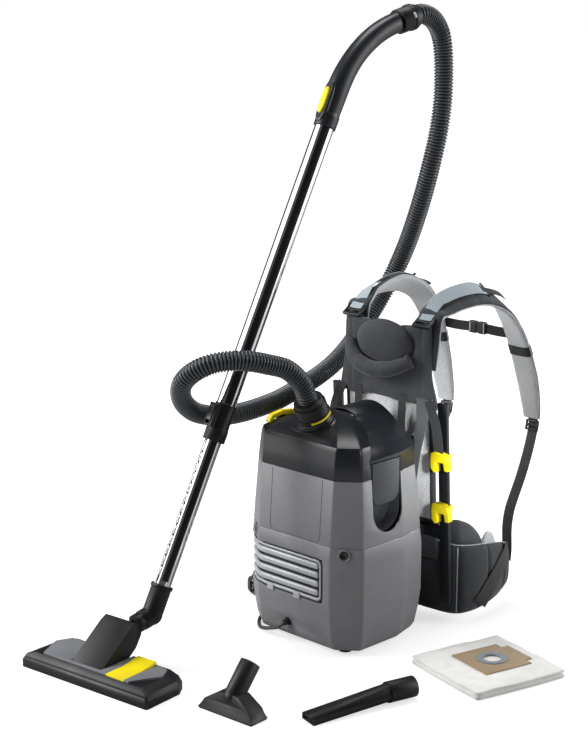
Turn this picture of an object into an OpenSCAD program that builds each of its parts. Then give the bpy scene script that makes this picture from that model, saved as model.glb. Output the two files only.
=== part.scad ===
// Backpack vacuum cleaner with its harness, suction hose, telescopic wand, floor tool and small tools.
// Millimetres. +Z is up, -Y is the casing's front, +Y is the wearer's side, +X is the accessory pocket's side.
// The origin lies on the floor under the middle of the casing.

/* [Casing] */
// Width of the casing at the lid seam
body_w = 296; // [280:1:340]
// Depth of the casing at the lid seam
body_d = 228; // [216:1:270]
// Height of the seam between casing and lid
seam_z = 369; // [350:1:400]
// Height of the seam between the motor base and the bag chamber
mid_z = 232; // [225:1:245]
// How far the walls bow out at their widest
bulge = 12; // [6:0.5:14]
// Wall thickness of the moulded shells
wall = 3; // [2.5:0.1:4]
// Height of the rubber feet
foot_h = 10; // [8:0.5:14]
// Height of the lid's crown above the lid seam
lid_rise = 104; // [96:1:112]

/* [Pocket] */
// Width of the accessory pocket in the side wall
pocket_w = 88; // [76:1:92]
// Depth of the accessory pocket
pocket_depth = 46; // [36:1:50]
// Height of the pocket's lowest point
pocket_low_z = 253; // [246:1:262]

/* [Grille] */
// Right edge of the exhaust grille, which runs from there round the left chamfer
grille_right = 82; // [60:1:90]
// Height of the exhaust grille
grille_h = 92; // [80:1:96]

/* [Suction line] */
// Outer diameter of the ribbed hose
hose_d = 42; // [38:0.5:43]
// Depth of the hose's ribs
rib_depth = 2.5; // [2:0.1:3]
// Wall thickness of the hose between its ribs
hose_wall = 1.2; // [1:0.1:1.6]
// Outer diameter of the outer wand tube
outer_tube_d = 40; // [38.5:0.1:41]
// Outer diameter of the inner wand tube
inner_tube_d = 35; // [33:0.1:35.6]
// Wall thickness of both wand tubes
tube_wall = 1.2; // [1:0.1:1.5]
// Length of the inner tube that shows when the wand is pulled out
inner_show = 350; // [330:1:365]
// Length of the outer tube
outer_len = 667; // [655:1:690]
// Travel of the telescopic wand
wand_travel = 300; // [200:5:310]

/* [Floor tool] */
// Width of the floor tool
tool_w = 345; // [300:1:360]
// Depth of the floor tool
tool_d = 120; // [110:1:130]

/* [Cord] */
// Diameter of the mains cord
cord_d = 8; // [7.5:0.1:8]
// Turns in the stored cord coil
coil_turns = 16; // [12:4:16]

/* [Harness] */
// Width between the harness rails' middles
rail_span = 298; // [290:1:306]
// Width of the shoulder yoke
yoke_w = 274; // [250:1:276]
// Width of a padded shoulder strap
strap_w = 60; // [50:1:62]
// Thickness of a padded shoulder strap
strap_t = 16; // [12:0.5:18]
// Height of the hip belt's back
belt_h = 160; // [140:1:170]

/* [Fits] */
// Radial clearance of hinge pins and swivels
pin_fit = 0.08; // [0.05:0.01:0.1]
// Gap between parts that move past each other
run_gap = 0.4; // [0.3:0.05:0.8]
// Gap between parts of a seam that opens
seam_gap = 1; // [0.6:0.1:1.5]

/* [Hidden] */
eps = 0.01;

// Stations up the casing: height and how far the section stands out from the seam section.
base_stations = [[foot_h, -7], [foot_h + 4, -2], [foot_h + 14, 0.25 * bulge], [60, 0.7 * bulge], [100, bulge],
    [200, bulge], [mid_z - 2, 0.8 * bulge], [mid_z, 0.8 * bulge - 1.2]];
chamber_stations = [[mid_z, 0.8 * bulge - 1.2], [mid_z + 2, 0.8 * bulge], [270, 0.6 * bulge],
    [310, 0.35 * bulge], [seam_z - 1.5, 0], [seam_z, -1]];
skirt_z = seam_z + 36;                  // where the rear cover's skirt turns into its deck
crown_z = seam_z + lid_rise;
chamfer_x = 102;                        // half width of the flat front
chamfer_y = 34;                         // how far the front chamfers run back
border_y = 12;                          // rear edge of the lid at the middle
border_side_y = 60 - body_d / 2;        // rear edge of the lid at the sides
lid_axis = [border_y, crown_z - 5];     // lid hinge, y and z
lid_pin_r = 2.5;
pocket_y = -8;
pocket_r = pocket_w / 2;
pocket_top_z = skirt_z - 1;
pocket_x = body_w / 2 + bulge - pocket_depth;
flap_axis = [body_w / 2 - 4, pocket_top_z - 6.5];
flap_h = 86;
grille_z = 202;                         // top edge of the grille opening
grille_low_z = grille_z - grille_h;
grille_back_y = -76;                    // where the grille ends on the left chamfer
inlet_pos = [0, -58, seam_z + 96];
inlet_tilt = 27;
collar_r = 34;
bore_r = hose_d / 2 + run_gap + 0.2;

// Telescopic wand: its foot, its lean from upright and its heading.
wand_foot = [-128, -386, 127];
wand_lean = 25;
wand_heading = 83;
wand_len = inner_show + outer_len;
grip_straight = 80;                     // straight stretch of the grip before its bend
grip_bend_r = 250;
grip_bend = 50;
grip_r = 21;
cuff_len = 50;

// Floor tool: its middle on the floor, its turn, and the pivot of its throat, in the tool's own frame.
tool_pos = [-140, -514, 0];
tool_turn = 6;
pivot_at = [-10, -2, 33];
pivot_r = 5;
neck_bend = wand_foot - 26 * axis_of(wand_lean, wand_heading);
throat_end = [-133, -430, 94];          // where the throat meets the neck's swivel
swivel_dir = unit(throat_end - neck_bend);
throat_w = 82;
pedal_at = [76, 0, 33];                 // middle of the pedal's pivot
pedal_w = 48;
pedal_d = 92;

// Harness planes.
rail_y = 165;
rail_w = 24;
rail_top_z = 488;
rail_low_z = 48;
rail_lean = 3;
yoke_y = 160;
hook_z = [364, 252];

// Routes. Hose: from the collar, once round the wand, along the casing and up to the grip.
hose_route = [[-6, -137, 584], [-17, -178, 599], [-29, -217, 610], [-46, -249, 613], [-68, -279, 609],
    [-94, -299, 595], [-121, -306, 573], [-147, -296, 545], [-166, -272, 513], [-176, -238, 487],
    [-178, -205, 473], [-175, -170, 465], [-173, -130, 461], [-172, -88, 461], [-172, -42, 464],
    [-172, 0, 469], [-174, 45, 478], [-177, 90, 488], [-181, 138, 500], [-186, 190, 518],
    [-191, 242, 546], [-196, 300, 590], [-190, 352, 650], [-172, 378, 708], [-145, 382, 765],
    [-114, 375, 825], [-88, 372, 890], [-68, 372, 955], [-54, 376, 1020], [-47, 380, 1085],
    [-46, 379, 1140], [-47, 372, 1188], [-49, 357, 1224]];
// Cord: out of the gland, down to the floor, close round the left corner and back to the coil.
cord_route = [[-25, -134, 33], [-36, -138, 20], [-54, -139, 10], [-78, -136, 5], [-104, -128, 4.5],
    [-130, -112, 4.5], [-150, -88, 4.5], [-163, -58, 4.5], [-176, -28, 4.5], [-195, -2, 4.5],
    [-222, 12, 4.5], [-252, 17, 4.5]];
gland_pos = [-20, -body_d / 2 - 5, 43];
coil_r = 6 * cord_d;
coil_pitch = cord_d + 0.8;
coil_center = [-252, 17 + coil_r + 2 * coil_pitch, 0];

// ---------------------------------------------------------------- functions

function unit(v) = v / norm(v);
function axis_of(lean, heading) =
    [sin(lean) * cos(heading), sin(lean) * sin(heading), cos(lean)];
function side_half() = body_w / 2;

// Rounds each corner of a closed polygon with an arc of radius r in n steps.
function round_poly(p, r, n = 3) = [for (i = [0:len(p) - 1])
    let (b = p[i], u = unit(p[(i + len(p) - 1) % len(p)] - b), v = unit(p[(i + 1) % len(p)] - b),
        half = acos(max(-1, min(1, u * v))) / 2, m = unit(u + v), c = b + m * r / sin(half),
        s = b + u * r / tan(half), e = b + v * r / tan(half),
        a0 = atan2(s[1] - c[1], s[0] - c[0]), a1 = atan2(e[1] - c[1], e[0] - c[0]),
        d = a1 - a0 > 180 ? a1 - a0 - 360 : (a1 - a0 < -180 ? a1 - a0 + 360 : a1 - a0))
    for (k = [0:n]) c + r * [cos(a0 + d * k / n), sin(a0 + d * k / n)]];

// The casing's plan section, standing out by e from the seam section.
function section(e) = let (w = side_half() + e, f = -body_d / 2 - e, b = body_d / 2 + e)
    round_poly([[chamfer_x, f], [w, f + chamfer_y + 0.4 * e], [w, 36], [w - 16, b - 16], [w - 34, b],
        [34 - w, b], [16 - w, b - 16], [-w, 36], [-w, f + chamfer_y + 0.4 * e], [-chamfer_x, f]], 9);

// Catmull-Rom curve through points p, n steps a span.
function span_point(a, b, c, d, t) = 0.5 * ((2 * b) + (c - a) * t + (2 * a - 5 * b + 4 * c - d) * t * t
    + (3 * b - a - 3 * c + d) * t * t * t);
function curve(p, n) = [for (i = [0:len(p) - 2]) for (k = [0:n - 1])
    span_point(p[max(i - 1, 0)], p[i], p[i + 1], p[min(i + 2, len(p) - 1)], k / n), p[len(p) - 1]];

// Running lengths along a path, and the point at length s.
function runs(p, i = 1, acc = [0]) = i >= len(p) ? acc
    : runs(p, i + 1, concat(acc, [acc[i - 1] + norm(p[i] - p[i - 1])]));
function seek(l, s, lo, hi) = hi - lo <= 1 ? lo
    : let (m = floor((lo + hi) / 2)) (l[m] <= s ? seek(l, s, m, hi) : seek(l, s, lo, m));
function at_length(p, l, s) = let (i = seek(l, s, 0, len(l) - 1), t = (s - l[i]) / (l[i + 1] - l[i]))
    p[i] + (p[i + 1] - p[i]) * t;

// Directions of a path, and a steady frame carried along it.
function heading_at(p, i) = unit(p[min(i + 1, len(p) - 1)] - p[max(i - 1, 0)]);
function carried(p, i = 1, acc = [[0, 0, 1]]) = i >= len(p) ? acc
    : let (t = heading_at(p, i), u = acc[i - 1] - (acc[i - 1] * t) * t)
        carried(p, i + 1, concat(acc, [unit(u)]));
function first_side(t) = abs(t[2]) < 0.9 ? unit(cross(t, [0, 0, 1])) : unit(cross(t, [1, 0, 0]));

// ---------------------------------------------------------------- generic solids

// A closed skin over rings of equal size; the first and last ring are its ends.
module skin(rings) {
    n = len(rings[0]);
    m = len(rings);
    polyhedron([for (r = rings) for (q = r) q], concat(
        [[for (k = [0:n - 1]) k]],
        [for (i = [0:m - 2]) for (k = [0:n - 1]) each let (a = i * n + k, b = i * n + (k + 1) % n)
            [[a, b + n, b], [a, a + n, b + n]]],
        [[for (k = [n - 1:-1:0]) (m - 1) * n + k]]), 10);
}

// A hollow tube: rings along the outside, then rings back along the bore to the first one.
module closed_tube(rings) {
    n = len(rings[0]);
    m = len(rings);
    polyhedron([for (r = rings) for (q = r) q], [for (i = [0:m - 1]) for (k = [0:n - 1])
        each let (j = (i + 1) % m, a = i * n + k, b = i * n + (k + 1) % n, c = j * n + k, d = j * n + (k + 1) % n)
            [[a, d, b], [a, c, d]]], 10);
}

// The casing's outline between stations, drawn in by inset.
module casing(stations, inset = 0) {
    skin([for (s = stations) [for (q = section(s[1] - inset)) [q[0], q[1], s[0]]]]);
}

// Rings of a round tube of n sides about path p; radii r is one value for each point.
function tube_rings(p, r, n) = let (side = carried(p, 1, [first_side(heading_at(p, 0))]))
    [for (i = [0:len(p) - 1]) let (t = heading_at(p, i), u = side[i], v = cross(t, u))
        [for (k = [0:n - 1]) p[i] + r[i] * (cos(360 * k / n) * u + sin(360 * k / n) * v)]];

// A flat band along path p: its width lies along wide, its thickness across it.
function band_rings(p, wide, w, t) = [for (i = [0:len(p) - 1])
    let (h = heading_at(p, i), a = unit(wide - (wide * h) * h), b = cross(h, a), c = t[i] / 2, s = w[i] / 2)
        [p[i] - (s - c * 0.6) * a - c * b, p[i] + (s - c * 0.6) * a - c * b, p[i] + s * a,
         p[i] + (s - c * 0.6) * a + c * b, p[i] - (s - c * 0.6) * a + c * b, p[i] - s * a]];

module along_wand(z) {
    translate(wand_foot) rotate([0, wand_lean, wand_heading]) translate([0, 0, z]) children();
}

// Turns +Z onto direction d.
module aim(d) {
    rotate([0, acos(d[2] / norm(d)), atan2(d[1], d[0])]) children();
}

module pipe(r, h, bore) {
    difference() {
        cylinder(r = r, h = h, $fn = 64);
        translate([0, 0, -1]) cylinder(r = bore, h = h + 2, $fn = 64);
    }
}

module at_inlet(z) {
    translate(inlet_pos) rotate([inlet_tilt, 0, 0]) translate([0, 0, z]) children();
}

module on_tool() {
    translate(tool_pos) rotate([0, 0, tool_turn]) children();
}

module both_sides() {
    children();
    mirror([1, 0, 0]) children();
}

// ---------------------------------------------------------------- casing

// Slot with a round bottom, upright, drawn in the plane of the side wall.
module pocket_slot(grow, from_x, to_x, top) {
    translate([from_x, pocket_y, 0]) rotate([90, 0, 90]) linear_extrude(to_x - from_x) union() {
        translate([0, pocket_low_z + pocket_r]) circle(r = pocket_r + grow, $fn = 64);
        translate([-pocket_r - grow, pocket_low_z + pocket_r])
            square([2 * (pocket_r + grow), top - pocket_low_z - pocket_r]);
    }
}

// A strip of the wall's plan between two depths below its outer face, from the grille's right
// edge round the left chamfer.
module grille_strip(out, deep, trim = 0) {
    intersection() {
        difference() {
            polygon(section(bulge - out));
            polygon(section(bulge - deep));
        }
        polygon([[grille_right - trim, -body_d], [-body_w, -body_d], [-body_w, grille_back_y - trim],
            [0, grille_back_y - trim], [grille_right - trim, 0]]);
    }
}

module screw_seat(x, y, z, turn, r, depth) {
    translate([x, y, z]) rotate([90, 0, turn]) translate([0, 0, -depth]) cylinder(r = r, h = depth + 6, $fn = 40);
}

screw_x = body_w / 2 - 24;
screw_y = -body_d / 2 + 10;
screw_z = mid_z - 14;

filter_x = -92;
filter_len = 162;
filter_y = -body_d / 2 - bulge + 7.4;    // the filter's front, right behind the grille
module base_shell() {
    color("#6f7173") for (z = [grille_low_z - 2.3, grille_z + 0.3])
        translate([filter_x, filter_y - 5.6, z]) cube([filter_len, 18, 2]);
    color("#6f7173") difference() {
        casing(base_stations);
        difference() {
            casing([for (s = base_stations) [s[0] == foot_h ? foot_h + wall : s[0] + (s[0] == mid_z ? 1 : 0), s[1]]],
                wall);
            for (x = [-1, 1]) translate([x * screw_x, screw_y, screw_z]) rotate([90, 0, x * 34])
                translate([0, 0, -18]) cylinder(r = 13, h = 40, $fn = 40);
        }
        translate([0, 0, grille_low_z]) linear_extrude(grille_h) grille_strip(-4, 9);
        for (x = [-1, 1]) screw_seat(x * screw_x, screw_y, screw_z, x * 34, 5, 6);
        translate(gland_pos) rotate([90, 0, 0]) translate([0, 0, -20]) cylinder(r = 9, h = 40, $fn = 48);
        for (q = feet) translate([q[0], q[1], foot_h - 1]) cylinder(r = 4, h = wall + 3, $fn = 32);
    }
}

// One foot under each corner and one under the middle.
foot_x = body_w / 2 - 48;
foot_y = body_d / 2 - 40;
feet = [[-foot_x, -foot_y], [foot_x, -foot_y], [foot_x, foot_y], [-foot_x, foot_y], [0, 0]];
module rubber_feet() {
    color("#141414") for (q = feet) translate(q) {
        cylinder(r = 14, h = foot_h, $fn = 48);
        cylinder(r = 3.8, h = foot_h + wall + 2, $fn = 32);
    }
}

module housing_screws() {
    color("#2b2b2d") for (x = [-1, 1]) translate([x * screw_x, screw_y, screw_z]) rotate([90, 0, x * 34])
        translate([0, 0, -6]) difference() {
            cylinder(r = 4.6, h = 3, $fn = 40);
            translate([0, 0, 1.4]) cylinder(r = 2.2, h = 3, $fn = 6);
        }
}

module chamber_shell() {
    floor_z = mid_z + 4;
    color("#757779") difference() {
        casing(chamber_stations);
        casing([for (s = chamber_stations) [s[0] == mid_z ? floor_z : (s[0] == seam_z ? seam_z + 1 : s[0] +
            (s[0] < floor_z ? 3 : 0)), s[1]]], wall);
        translate([0, 0, mid_z - 1]) cylinder(r = 46, h = 8, $fn = 64);
        pocket_slot(0, pocket_x - 10, body_w, seam_z + 5);
    }
}

// Plan of the lid: everything in front of a border that runs back towards the middle.
module lid_plan(back = 0) {
    polygon([[-body_w, -body_d], [body_w, -body_d], [body_w, border_side_y + back],
        [body_w / 2, border_side_y + back], for (k = [0:8]) let (x = body_w / 2 * (1 - k / 4))
            [x, border_side_y + (border_y - border_side_y) * (1 - pow(abs(x) / (body_w / 2), 2.2)) + back],
        [-body_w / 2, border_side_y + back], [-body_w, border_side_y + back]]);
}

// The lid's dome: the seam section, then sections that close in on the crown.
function dome(inset) = let (h = crown_z - seam_z, top = -9, s = section(top - inset)) concat(
    [for (q = section(-inset)) [q[0], q[1], seam_z + (inset > 0 ? -1 : seam_gap)]],
    [for (q = section(-3 - inset)) [q[0], q[1], seam_z + 0.3 * h]],
    [for (q = section(-6 - inset)) [q[0], q[1], seam_z + 0.54 * h]],
    [for (f = [[1, 0.64], [0.84, 0.77], [0.62, 0.88], [0.4, 0.95], [0.16, 1]])
        for (q = s) [q[0] * f[0], border_y + (q[1] - border_y) * f[0], seam_z + f[1] * h - inset]]);

module dome_solid(inset) {
    n = len(section(0));
    d = dome(inset);
    skin([for (i = [0:len(d) / n - 1]) [for (k = [0:n - 1]) d[i * n + k]]]);
}

module lid() {
    color("#26282a") difference() {
        union() {
            intersection() {
                difference() {
                    dome_solid(0);
                    dome_solid(wall);
                }
                translate([0, 0, seam_z - 5]) linear_extrude(lid_rise + 20) lid_plan(-seam_gap);
            }
            intersection() {
                at_inlet(-14) cylinder(r = 42, h = 15, $fn = 64);
                translate([0, 0, seam_z]) linear_extrude(lid_rise + 60) lid_plan(-seam_gap);
            }
            for (x = [-1, 1]) translate([x * 26 - 8, border_y - 22, lid_axis[1] - 5]) cube([16, 22, 7]);
            for (x = [-1, 1]) translate([x * 26 - 8, border_y, lid_axis[1]]) rotate([0, 90, 0])
                cylinder(r = knuckle_r, h = 16, $fn = 40);
        }
        translate([-60, border_y, lid_axis[1]]) rotate([0, 90, 0])
            cylinder(r = lid_pin_r + pin_fit, h = 120, $fn = 40);
        translate([-16 - run_gap, border_y - knuckle_r - 1, lid_axis[1] - 8]) cube([32 + 2 * run_gap, 20, 20]);
        at_inlet(-40) cylinder(r = 27, h = 80, $fn = 64);
        pocket_slot(0.7, pocket_x - 10, body_w, pocket_top_z);
    }
}

knuckle_r = 5;
module lid_hinge_pin() {
    color("#9a9c9e") translate([-35, border_y, lid_axis[1]]) rotate([0, 90, 0])
        cylinder(r = lid_pin_r, h = 70, $fn = 40);
}

// Height of the rear deck across the casing: a saddle, high in the middle.
function deck_z(x) = skirt_z + 3 + (crown_z - skirt_z + 4) * (1 + cos(180 * min(1, abs(x) / (body_w / 2)))) / 2;

module deck_profile(drop, low) {
    w = body_w / 2 + 6;
    rotate([90, 0, 0]) linear_extrude(body_d * 2, center = true) polygon([[-w, low],
        [w, low], for (k = [0:28]) let (x = w * (1 - k / 14)) [x, deck_z(x) - drop]]);
}

module rear_cover() {
    color("#101113") difference() {
        union() {
            difference() {
                intersection() {
                    deck_profile(0, seam_z + 0.5);
                    casing([[seam_z + 0.5, -1], [skirt_z, -2], [crown_z + 30, -3]]);
                }
                intersection() {
                    deck_profile(wall, seam_z - 5);
                    casing([[seam_z - 1, -1], [skirt_z, -2], [crown_z + 30, -3]], wall);
                    translate([0, 0, seam_z - 5]) difference() {
                        translate([-body_w, -body_d]) cube([2 * body_w, 2 * body_d, 200]);
                        translate([0, 0, -1]) linear_extrude(210) lid_plan(wall);
                    }
                }
                translate([0, 0, seam_z - 5]) linear_extrude(lid_rise + 60) lid_plan();
            }
            translate([-16, border_y, lid_axis[1] - 5]) cube([32, 14, 7]);
            translate([-16, border_y, lid_axis[1]]) rotate([0, 90, 0]) cylinder(r = knuckle_r, h = 32, $fn = 40);
        }
        for (x = [-1, 1]) translate([x * 26 - 10, border_y - 8, lid_axis[1] - 7]) cube([20, 16, 30]);
        translate([-17, border_y - 8, lid_axis[1] + knuckle_r + run_gap]) cube([34, 16, 30]);
        translate([-60, border_y, lid_axis[1]]) rotate([0, 90, 0]) cylinder(r = lid_pin_r, h = 120, $fn = 40);
        pocket_slot(0, pocket_x - 10, body_w, pocket_top_z);
    }
}

module accessory_pocket() {
    skin_t = 2;
    color("#2a2523") difference() {
        pocket_slot(-0.3, pocket_x, body_w / 2 - 3, pocket_top_z - 0.3);
        pocket_slot(-0.3 - skin_t, pocket_x + skin_t, body_w, pocket_top_z - 0.3 - skin_t);
        for (y = [-1, 1]) translate([flap_axis[0], pocket_y + y * (pocket_r - 3), flap_axis[1]]) rotate([90, 0, 0])
            cylinder(r = 2 + pin_fit, h = 12, center = true, $fn = 32);
    }
}

module pocket_flap() {
    w = pocket_w - 8;
    color("#3c3e40") {
        translate([flap_axis[0] - 1, pocket_y, flap_axis[1] - flap_h]) rotate([90, 0, 90]) linear_extrude(4) union() {
            translate([-w / 2, 24]) square([w, flap_h - 22]);
            for (y = [-1, 1]) translate([y * (w / 2 - 24), 24]) circle(r = 24, $fn = 48);
            translate([24 - w / 2, 0]) square([w - 48, 30]);
        }
        translate([flap_axis[0], pocket_y, flap_axis[1]]) rotate([90, 0, 0])
            cylinder(r = 2, h = pocket_w - 3, center = true, $fn = 32);
    }
}

// ---------------------------------------------------------------- exhaust

grille_frame = 8;
grille_bars = 4;
clip_x = [-64, 12];

// Frame and louvres follow the wall; two clips at the lower edge hold it in the opening.
module exhaust_grille() {
    g = run_gap;
    step = (grille_h - 2 * grille_frame) / grille_bars;
    color("#b9bbbd") {
        for (z = [grille_low_z + g, grille_z - grille_frame]) translate([0, 0, z])
            linear_extrude(grille_frame - g) grille_strip(1, 7, g);
        translate([0, 0, grille_low_z + g]) linear_extrude(grille_h - 2 * g) difference() {
            grille_strip(1, 7, g);
            grille_strip(-3, 12, grille_frame);
        }
        for (k = [0:grille_bars - 1]) translate([0, 0, grille_low_z + grille_frame + (k + 0.2) * step])
            linear_extrude(step * 0.6) grille_strip(2.4, 5, g + 2);
        for (x = clip_x) translate([x - 9, -body_d / 2 - bulge, grille_low_z + g]) cube([18, 3, 9]);
    }
}

module exhaust_filter() {
    color("#d9d9d2") translate([filter_x, filter_y, grille_low_z]) cube([filter_len, 12, grille_h]);
}

// ---------------------------------------------------------------- motor and bag chamber

motor_r = 62;
motor_low_z = foot_h + wall + 22;
motor_top_z = mid_z - 22;

module motor_housing() {
    color("#2f3133") difference() {
        union() {
            translate([0, 12, motor_low_z]) cylinder(r = motor_r - 12, h = motor_top_z - motor_low_z, $fn = 64);
            translate([0, 12, motor_top_z - 60]) cylinder(r = motor_r, h = 60, $fn = 64);
        }
        translate([0, 12, motor_top_z - 56]) cylinder(r = motor_r - 3, h = 50, $fn = 64);
        translate([0, 12, motor_low_z + 4]) cylinder(r = motor_r - 16, h = motor_top_z - motor_low_z - 50, $fn = 64);
        translate([0, 12, motor_top_z - 8]) cylinder(r = 30, h = 12, $fn = 64);
        translate([0, 12, motor_low_z - 1]) cylinder(r = 4 + pin_fit, h = 8, $fn = 32);
    }
}

module fan_rotor() {
    color("#c2c4c6") translate([0, 12, 0]) {
        translate([0, 0, motor_low_z + 0.5]) cylinder(r = 4, h = motor_top_z - motor_low_z - 24, $fn = 32);
        translate([0, 0, motor_low_z + 24]) cylinder(r = 30, h = 66, $fn = 48);
        translate([0, 0, motor_top_z - 50]) cylinder(r = motor_r - 6, h = 3, $fn = 64);
        for (k = [0:8]) rotate([0, 0, k * 40]) translate([12, -1, motor_top_z - 48]) cube([motor_r - 22, 2, 24]);
        translate([0, 0, motor_top_z - 26]) difference() {
            cylinder(r = motor_r - 6, h = 3, $fn = 64);
            translate([0, 0, -1]) cylinder(r = 26, h = 5, $fn = 48);
        }
    }
}

module motor_seals() {
    color("#1b1b1b") {
        translate([0, 12, motor_top_z]) pipe(motor_r - 6, mid_z - motor_top_z - 0.5, 40);
        translate([0, 12, foot_h + wall]) pipe(motor_r - 20, motor_low_z - foot_h - wall, 24);
    }
}

module motor_filter() {
    color("#e4e4de") translate([0, 0, mid_z + 4.3]) cylinder(r = 60, h = 10, $fn = 64);
}

module filter_bag() {
    color("#e9e6de") skin([for (s = [[mid_z + 20, 0.55], [mid_z + 36, 0.8], [mid_z + 72, 0.86], [mid_z + 104, 0.78],
        [seam_z - 12.3, 0.4]]) [for (q = section(-34)) [(q[0] + 8) * s[1] * 0.62 - 26, (q[1] + 6) * s[1] * 0.8 - 8, s[0]]]]);
}

module bag_holder() {
    front = wall - body_d / 2 - 0.3;
    color("#3a6a5a") difference() {
        translate([-70, front, seam_z - 12]) cube([140, 38 - front, 4]);
        translate([0, -38, seam_z - 13]) cylinder(r = 28, h = 6, $fn = 64);
    }
}

module lid_seal() {
    color("#191919") difference() {
        skin([for (z = [seam_z - 6, seam_z + 0.2]) [for (q = section(-wall - 1.3)) [q[0], q[1], z]]]);
        skin([for (z = [seam_z - 7, seam_z + 1]) [for (q = section(-wall - 6)) [q[0], q[1], z]]]);
        pocket_slot(1, pocket_x - 12, body_w, seam_z + 5);
    }
}

// ---------------------------------------------------------------- lid latch and inlet

latch_x = -118;
latch_axis = [-14, seam_z + 76];
latch_pin_r = 2.5;

module latch_side() {
    rotate([90, 0, 90]) children();
}

// An arched lever: its pivot is behind, its nose hooks over the lid's left shoulder.
module lid_latch() {
    y = latch_axis[0];
    z = latch_axis[1];
    color("#f2d600") translate([latch_x - 6, 0, 0]) latch_side() linear_extrude(12) difference() {
        polygon(round_poly([[y - 74, z - 4], [y - 58, z + 15], [y - 26, z + 20], [y + 9, z + 16], [y + 9, z - 6],
            [y - 6.5, z - 6], [y - 8.5, z + 7.5], [y - 30, z + 11], [y - 50, z + 7], [y - 64, z]], 2.5));
        translate(latch_axis) circle(r = latch_pin_r + pin_fit, $fn = 32);
    }
}

module latch_bracket() {
    y = latch_axis[0];
    z = latch_axis[1];
    color("#1f2123") translate([latch_x, 0, 0]) {
        for (x = [-11.5, 6.5]) translate([x, 0, 0]) latch_side() linear_extrude(5)
            polygon([[y - 32, z - 7], [y - 18, z - 7], [y + 7, z - 6], [y + 7, z + 6], [y - 7, z + 8], [y - 32, z + 7]]);
        translate([-11.5, y, z]) rotate([0, 90, 0]) cylinder(r = latch_pin_r, h = 23, $fn = 32);
    }
}

module inlet_ring() {
    color("#232527") {
        at_inlet(1) pipe(39, 6, 27.4);
        at_inlet(7) pipe(36, 5, 27.4);
        at_inlet(-30) pipe(26.6, 37, 24);
    }
}

ring_low = 12.5;                        // the swivel collar's lower edge above the inlet's face
ring_h = 9;
module hose_collar() {
    color("#1a1b1d") difference() {
        union() {
            at_inlet(7 + run_gap) cylinder(r = 26.4 - run_gap, h = 12, $fn = 64);
            at_inlet(ring_low) cylinder(r = 36, h = ring_h, $fn = 64);
            at_inlet(ring_low + ring_h) cylinder(r = collar_r, h = 24, $fn = 64);
            at_inlet(ring_low + ring_h + 24) cylinder(r = collar_r - 3, h = 9, $fn = 64);
        }
        at_inlet(0) cylinder(r = bore_r, h = 80, $fn = 64);
        at_inlet(ring_low + 2) mark_ring(34.5, 40, 5);
    }
}

// The quarter ring that marks the collar.
module mark_ring(inner, outer, h) {
    intersection() {
        pipe(outer, h, inner);
        rotate([0, 0, -75]) translate([0, 0, -1]) cube([50, 50, h + 2]);
    }
}

module collar_mark() {
    color("#f2d600") at_inlet(ring_low + 2.2) mark_ring(34.6, 36.6, 4.6);
}

// ---------------------------------------------------------------- hose

inlet_axis = [0, -sin(inlet_tilt), cos(inlet_tilt)];
wand_axis = axis_of(wand_lean, wand_heading);
wand_end = wand_foot + wand_len * wand_axis;
wand_side = [cos(wand_lean) * cos(wand_heading), cos(wand_lean) * sin(wand_heading), -sin(wand_lean)];
grip_end = wand_end + (grip_straight + grip_bend_r * sin(grip_bend)) * wand_axis
    + grip_bend_r * (1 - cos(grip_bend)) * wand_side;
cuff_axis = cos(grip_bend) * wand_axis + sin(grip_bend) * wand_side;
hose_start = inlet_pos + 24 * inlet_axis;
hose_path = curve(concat([hose_start, inlet_pos + 46 * inlet_axis, inlet_pos + 68 * inlet_axis,
    inlet_pos + 98 * inlet_axis], hose_route, [grip_end + (cuff_len + 44) * cuff_axis - [0, 0, 14],
    grip_end + (cuff_len + 18) * cuff_axis - [0, 0, 1], grip_end + (cuff_len - 8) * cuff_axis,
    grip_end + (cuff_len - 34) * cuff_axis]), 6);
hose_runs = runs(hose_path);
hose_len = hose_runs[len(hose_runs) - 1];
ribs = 96;
function hose_point(s) = at_length(hose_path, hose_runs, max(0, min(hose_len - eps, s)));
echo(hose_length = hose_len);

module hose() {
    step = hose_len / (2 * ribs + 1);
    p = [for (i = [0:2 * ribs + 1]) hose_point(i * step)];
    r = [for (i = [0:2 * ribs + 1]) hose_d / 2 - (i % 2 == 0 ? rib_depth : 0)];
    inner = hose_d / 2 - rib_depth - hose_wall;
    outside = tube_rings(p, r, 8);
    inside = tube_rings(p, [for (q = p) inner], 8);
    picked = [for (i = [2 * ribs + 1:-3:0]) i, if ((2 * ribs + 1) % 3 != 0) 0];
    color("#17181a") closed_tube(concat(outside, [for (i = picked) inside[i]]));
}

// ---------------------------------------------------------------- wand

// The grip's bend, which leaves the wand's line towards its upper side; over runs past its far end.
module grip_arc(r, over = 0) {
    translate([grip_bend_r, 0, grip_straight]) rotate([90, 0, 0]) rotate([0, 0, 180 - grip_bend - over])
        rotate_extrude(angle = grip_bend + over, $fn = 160) translate([grip_bend_r, 0]) circle(r = r, $fn = 40);
}

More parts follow.
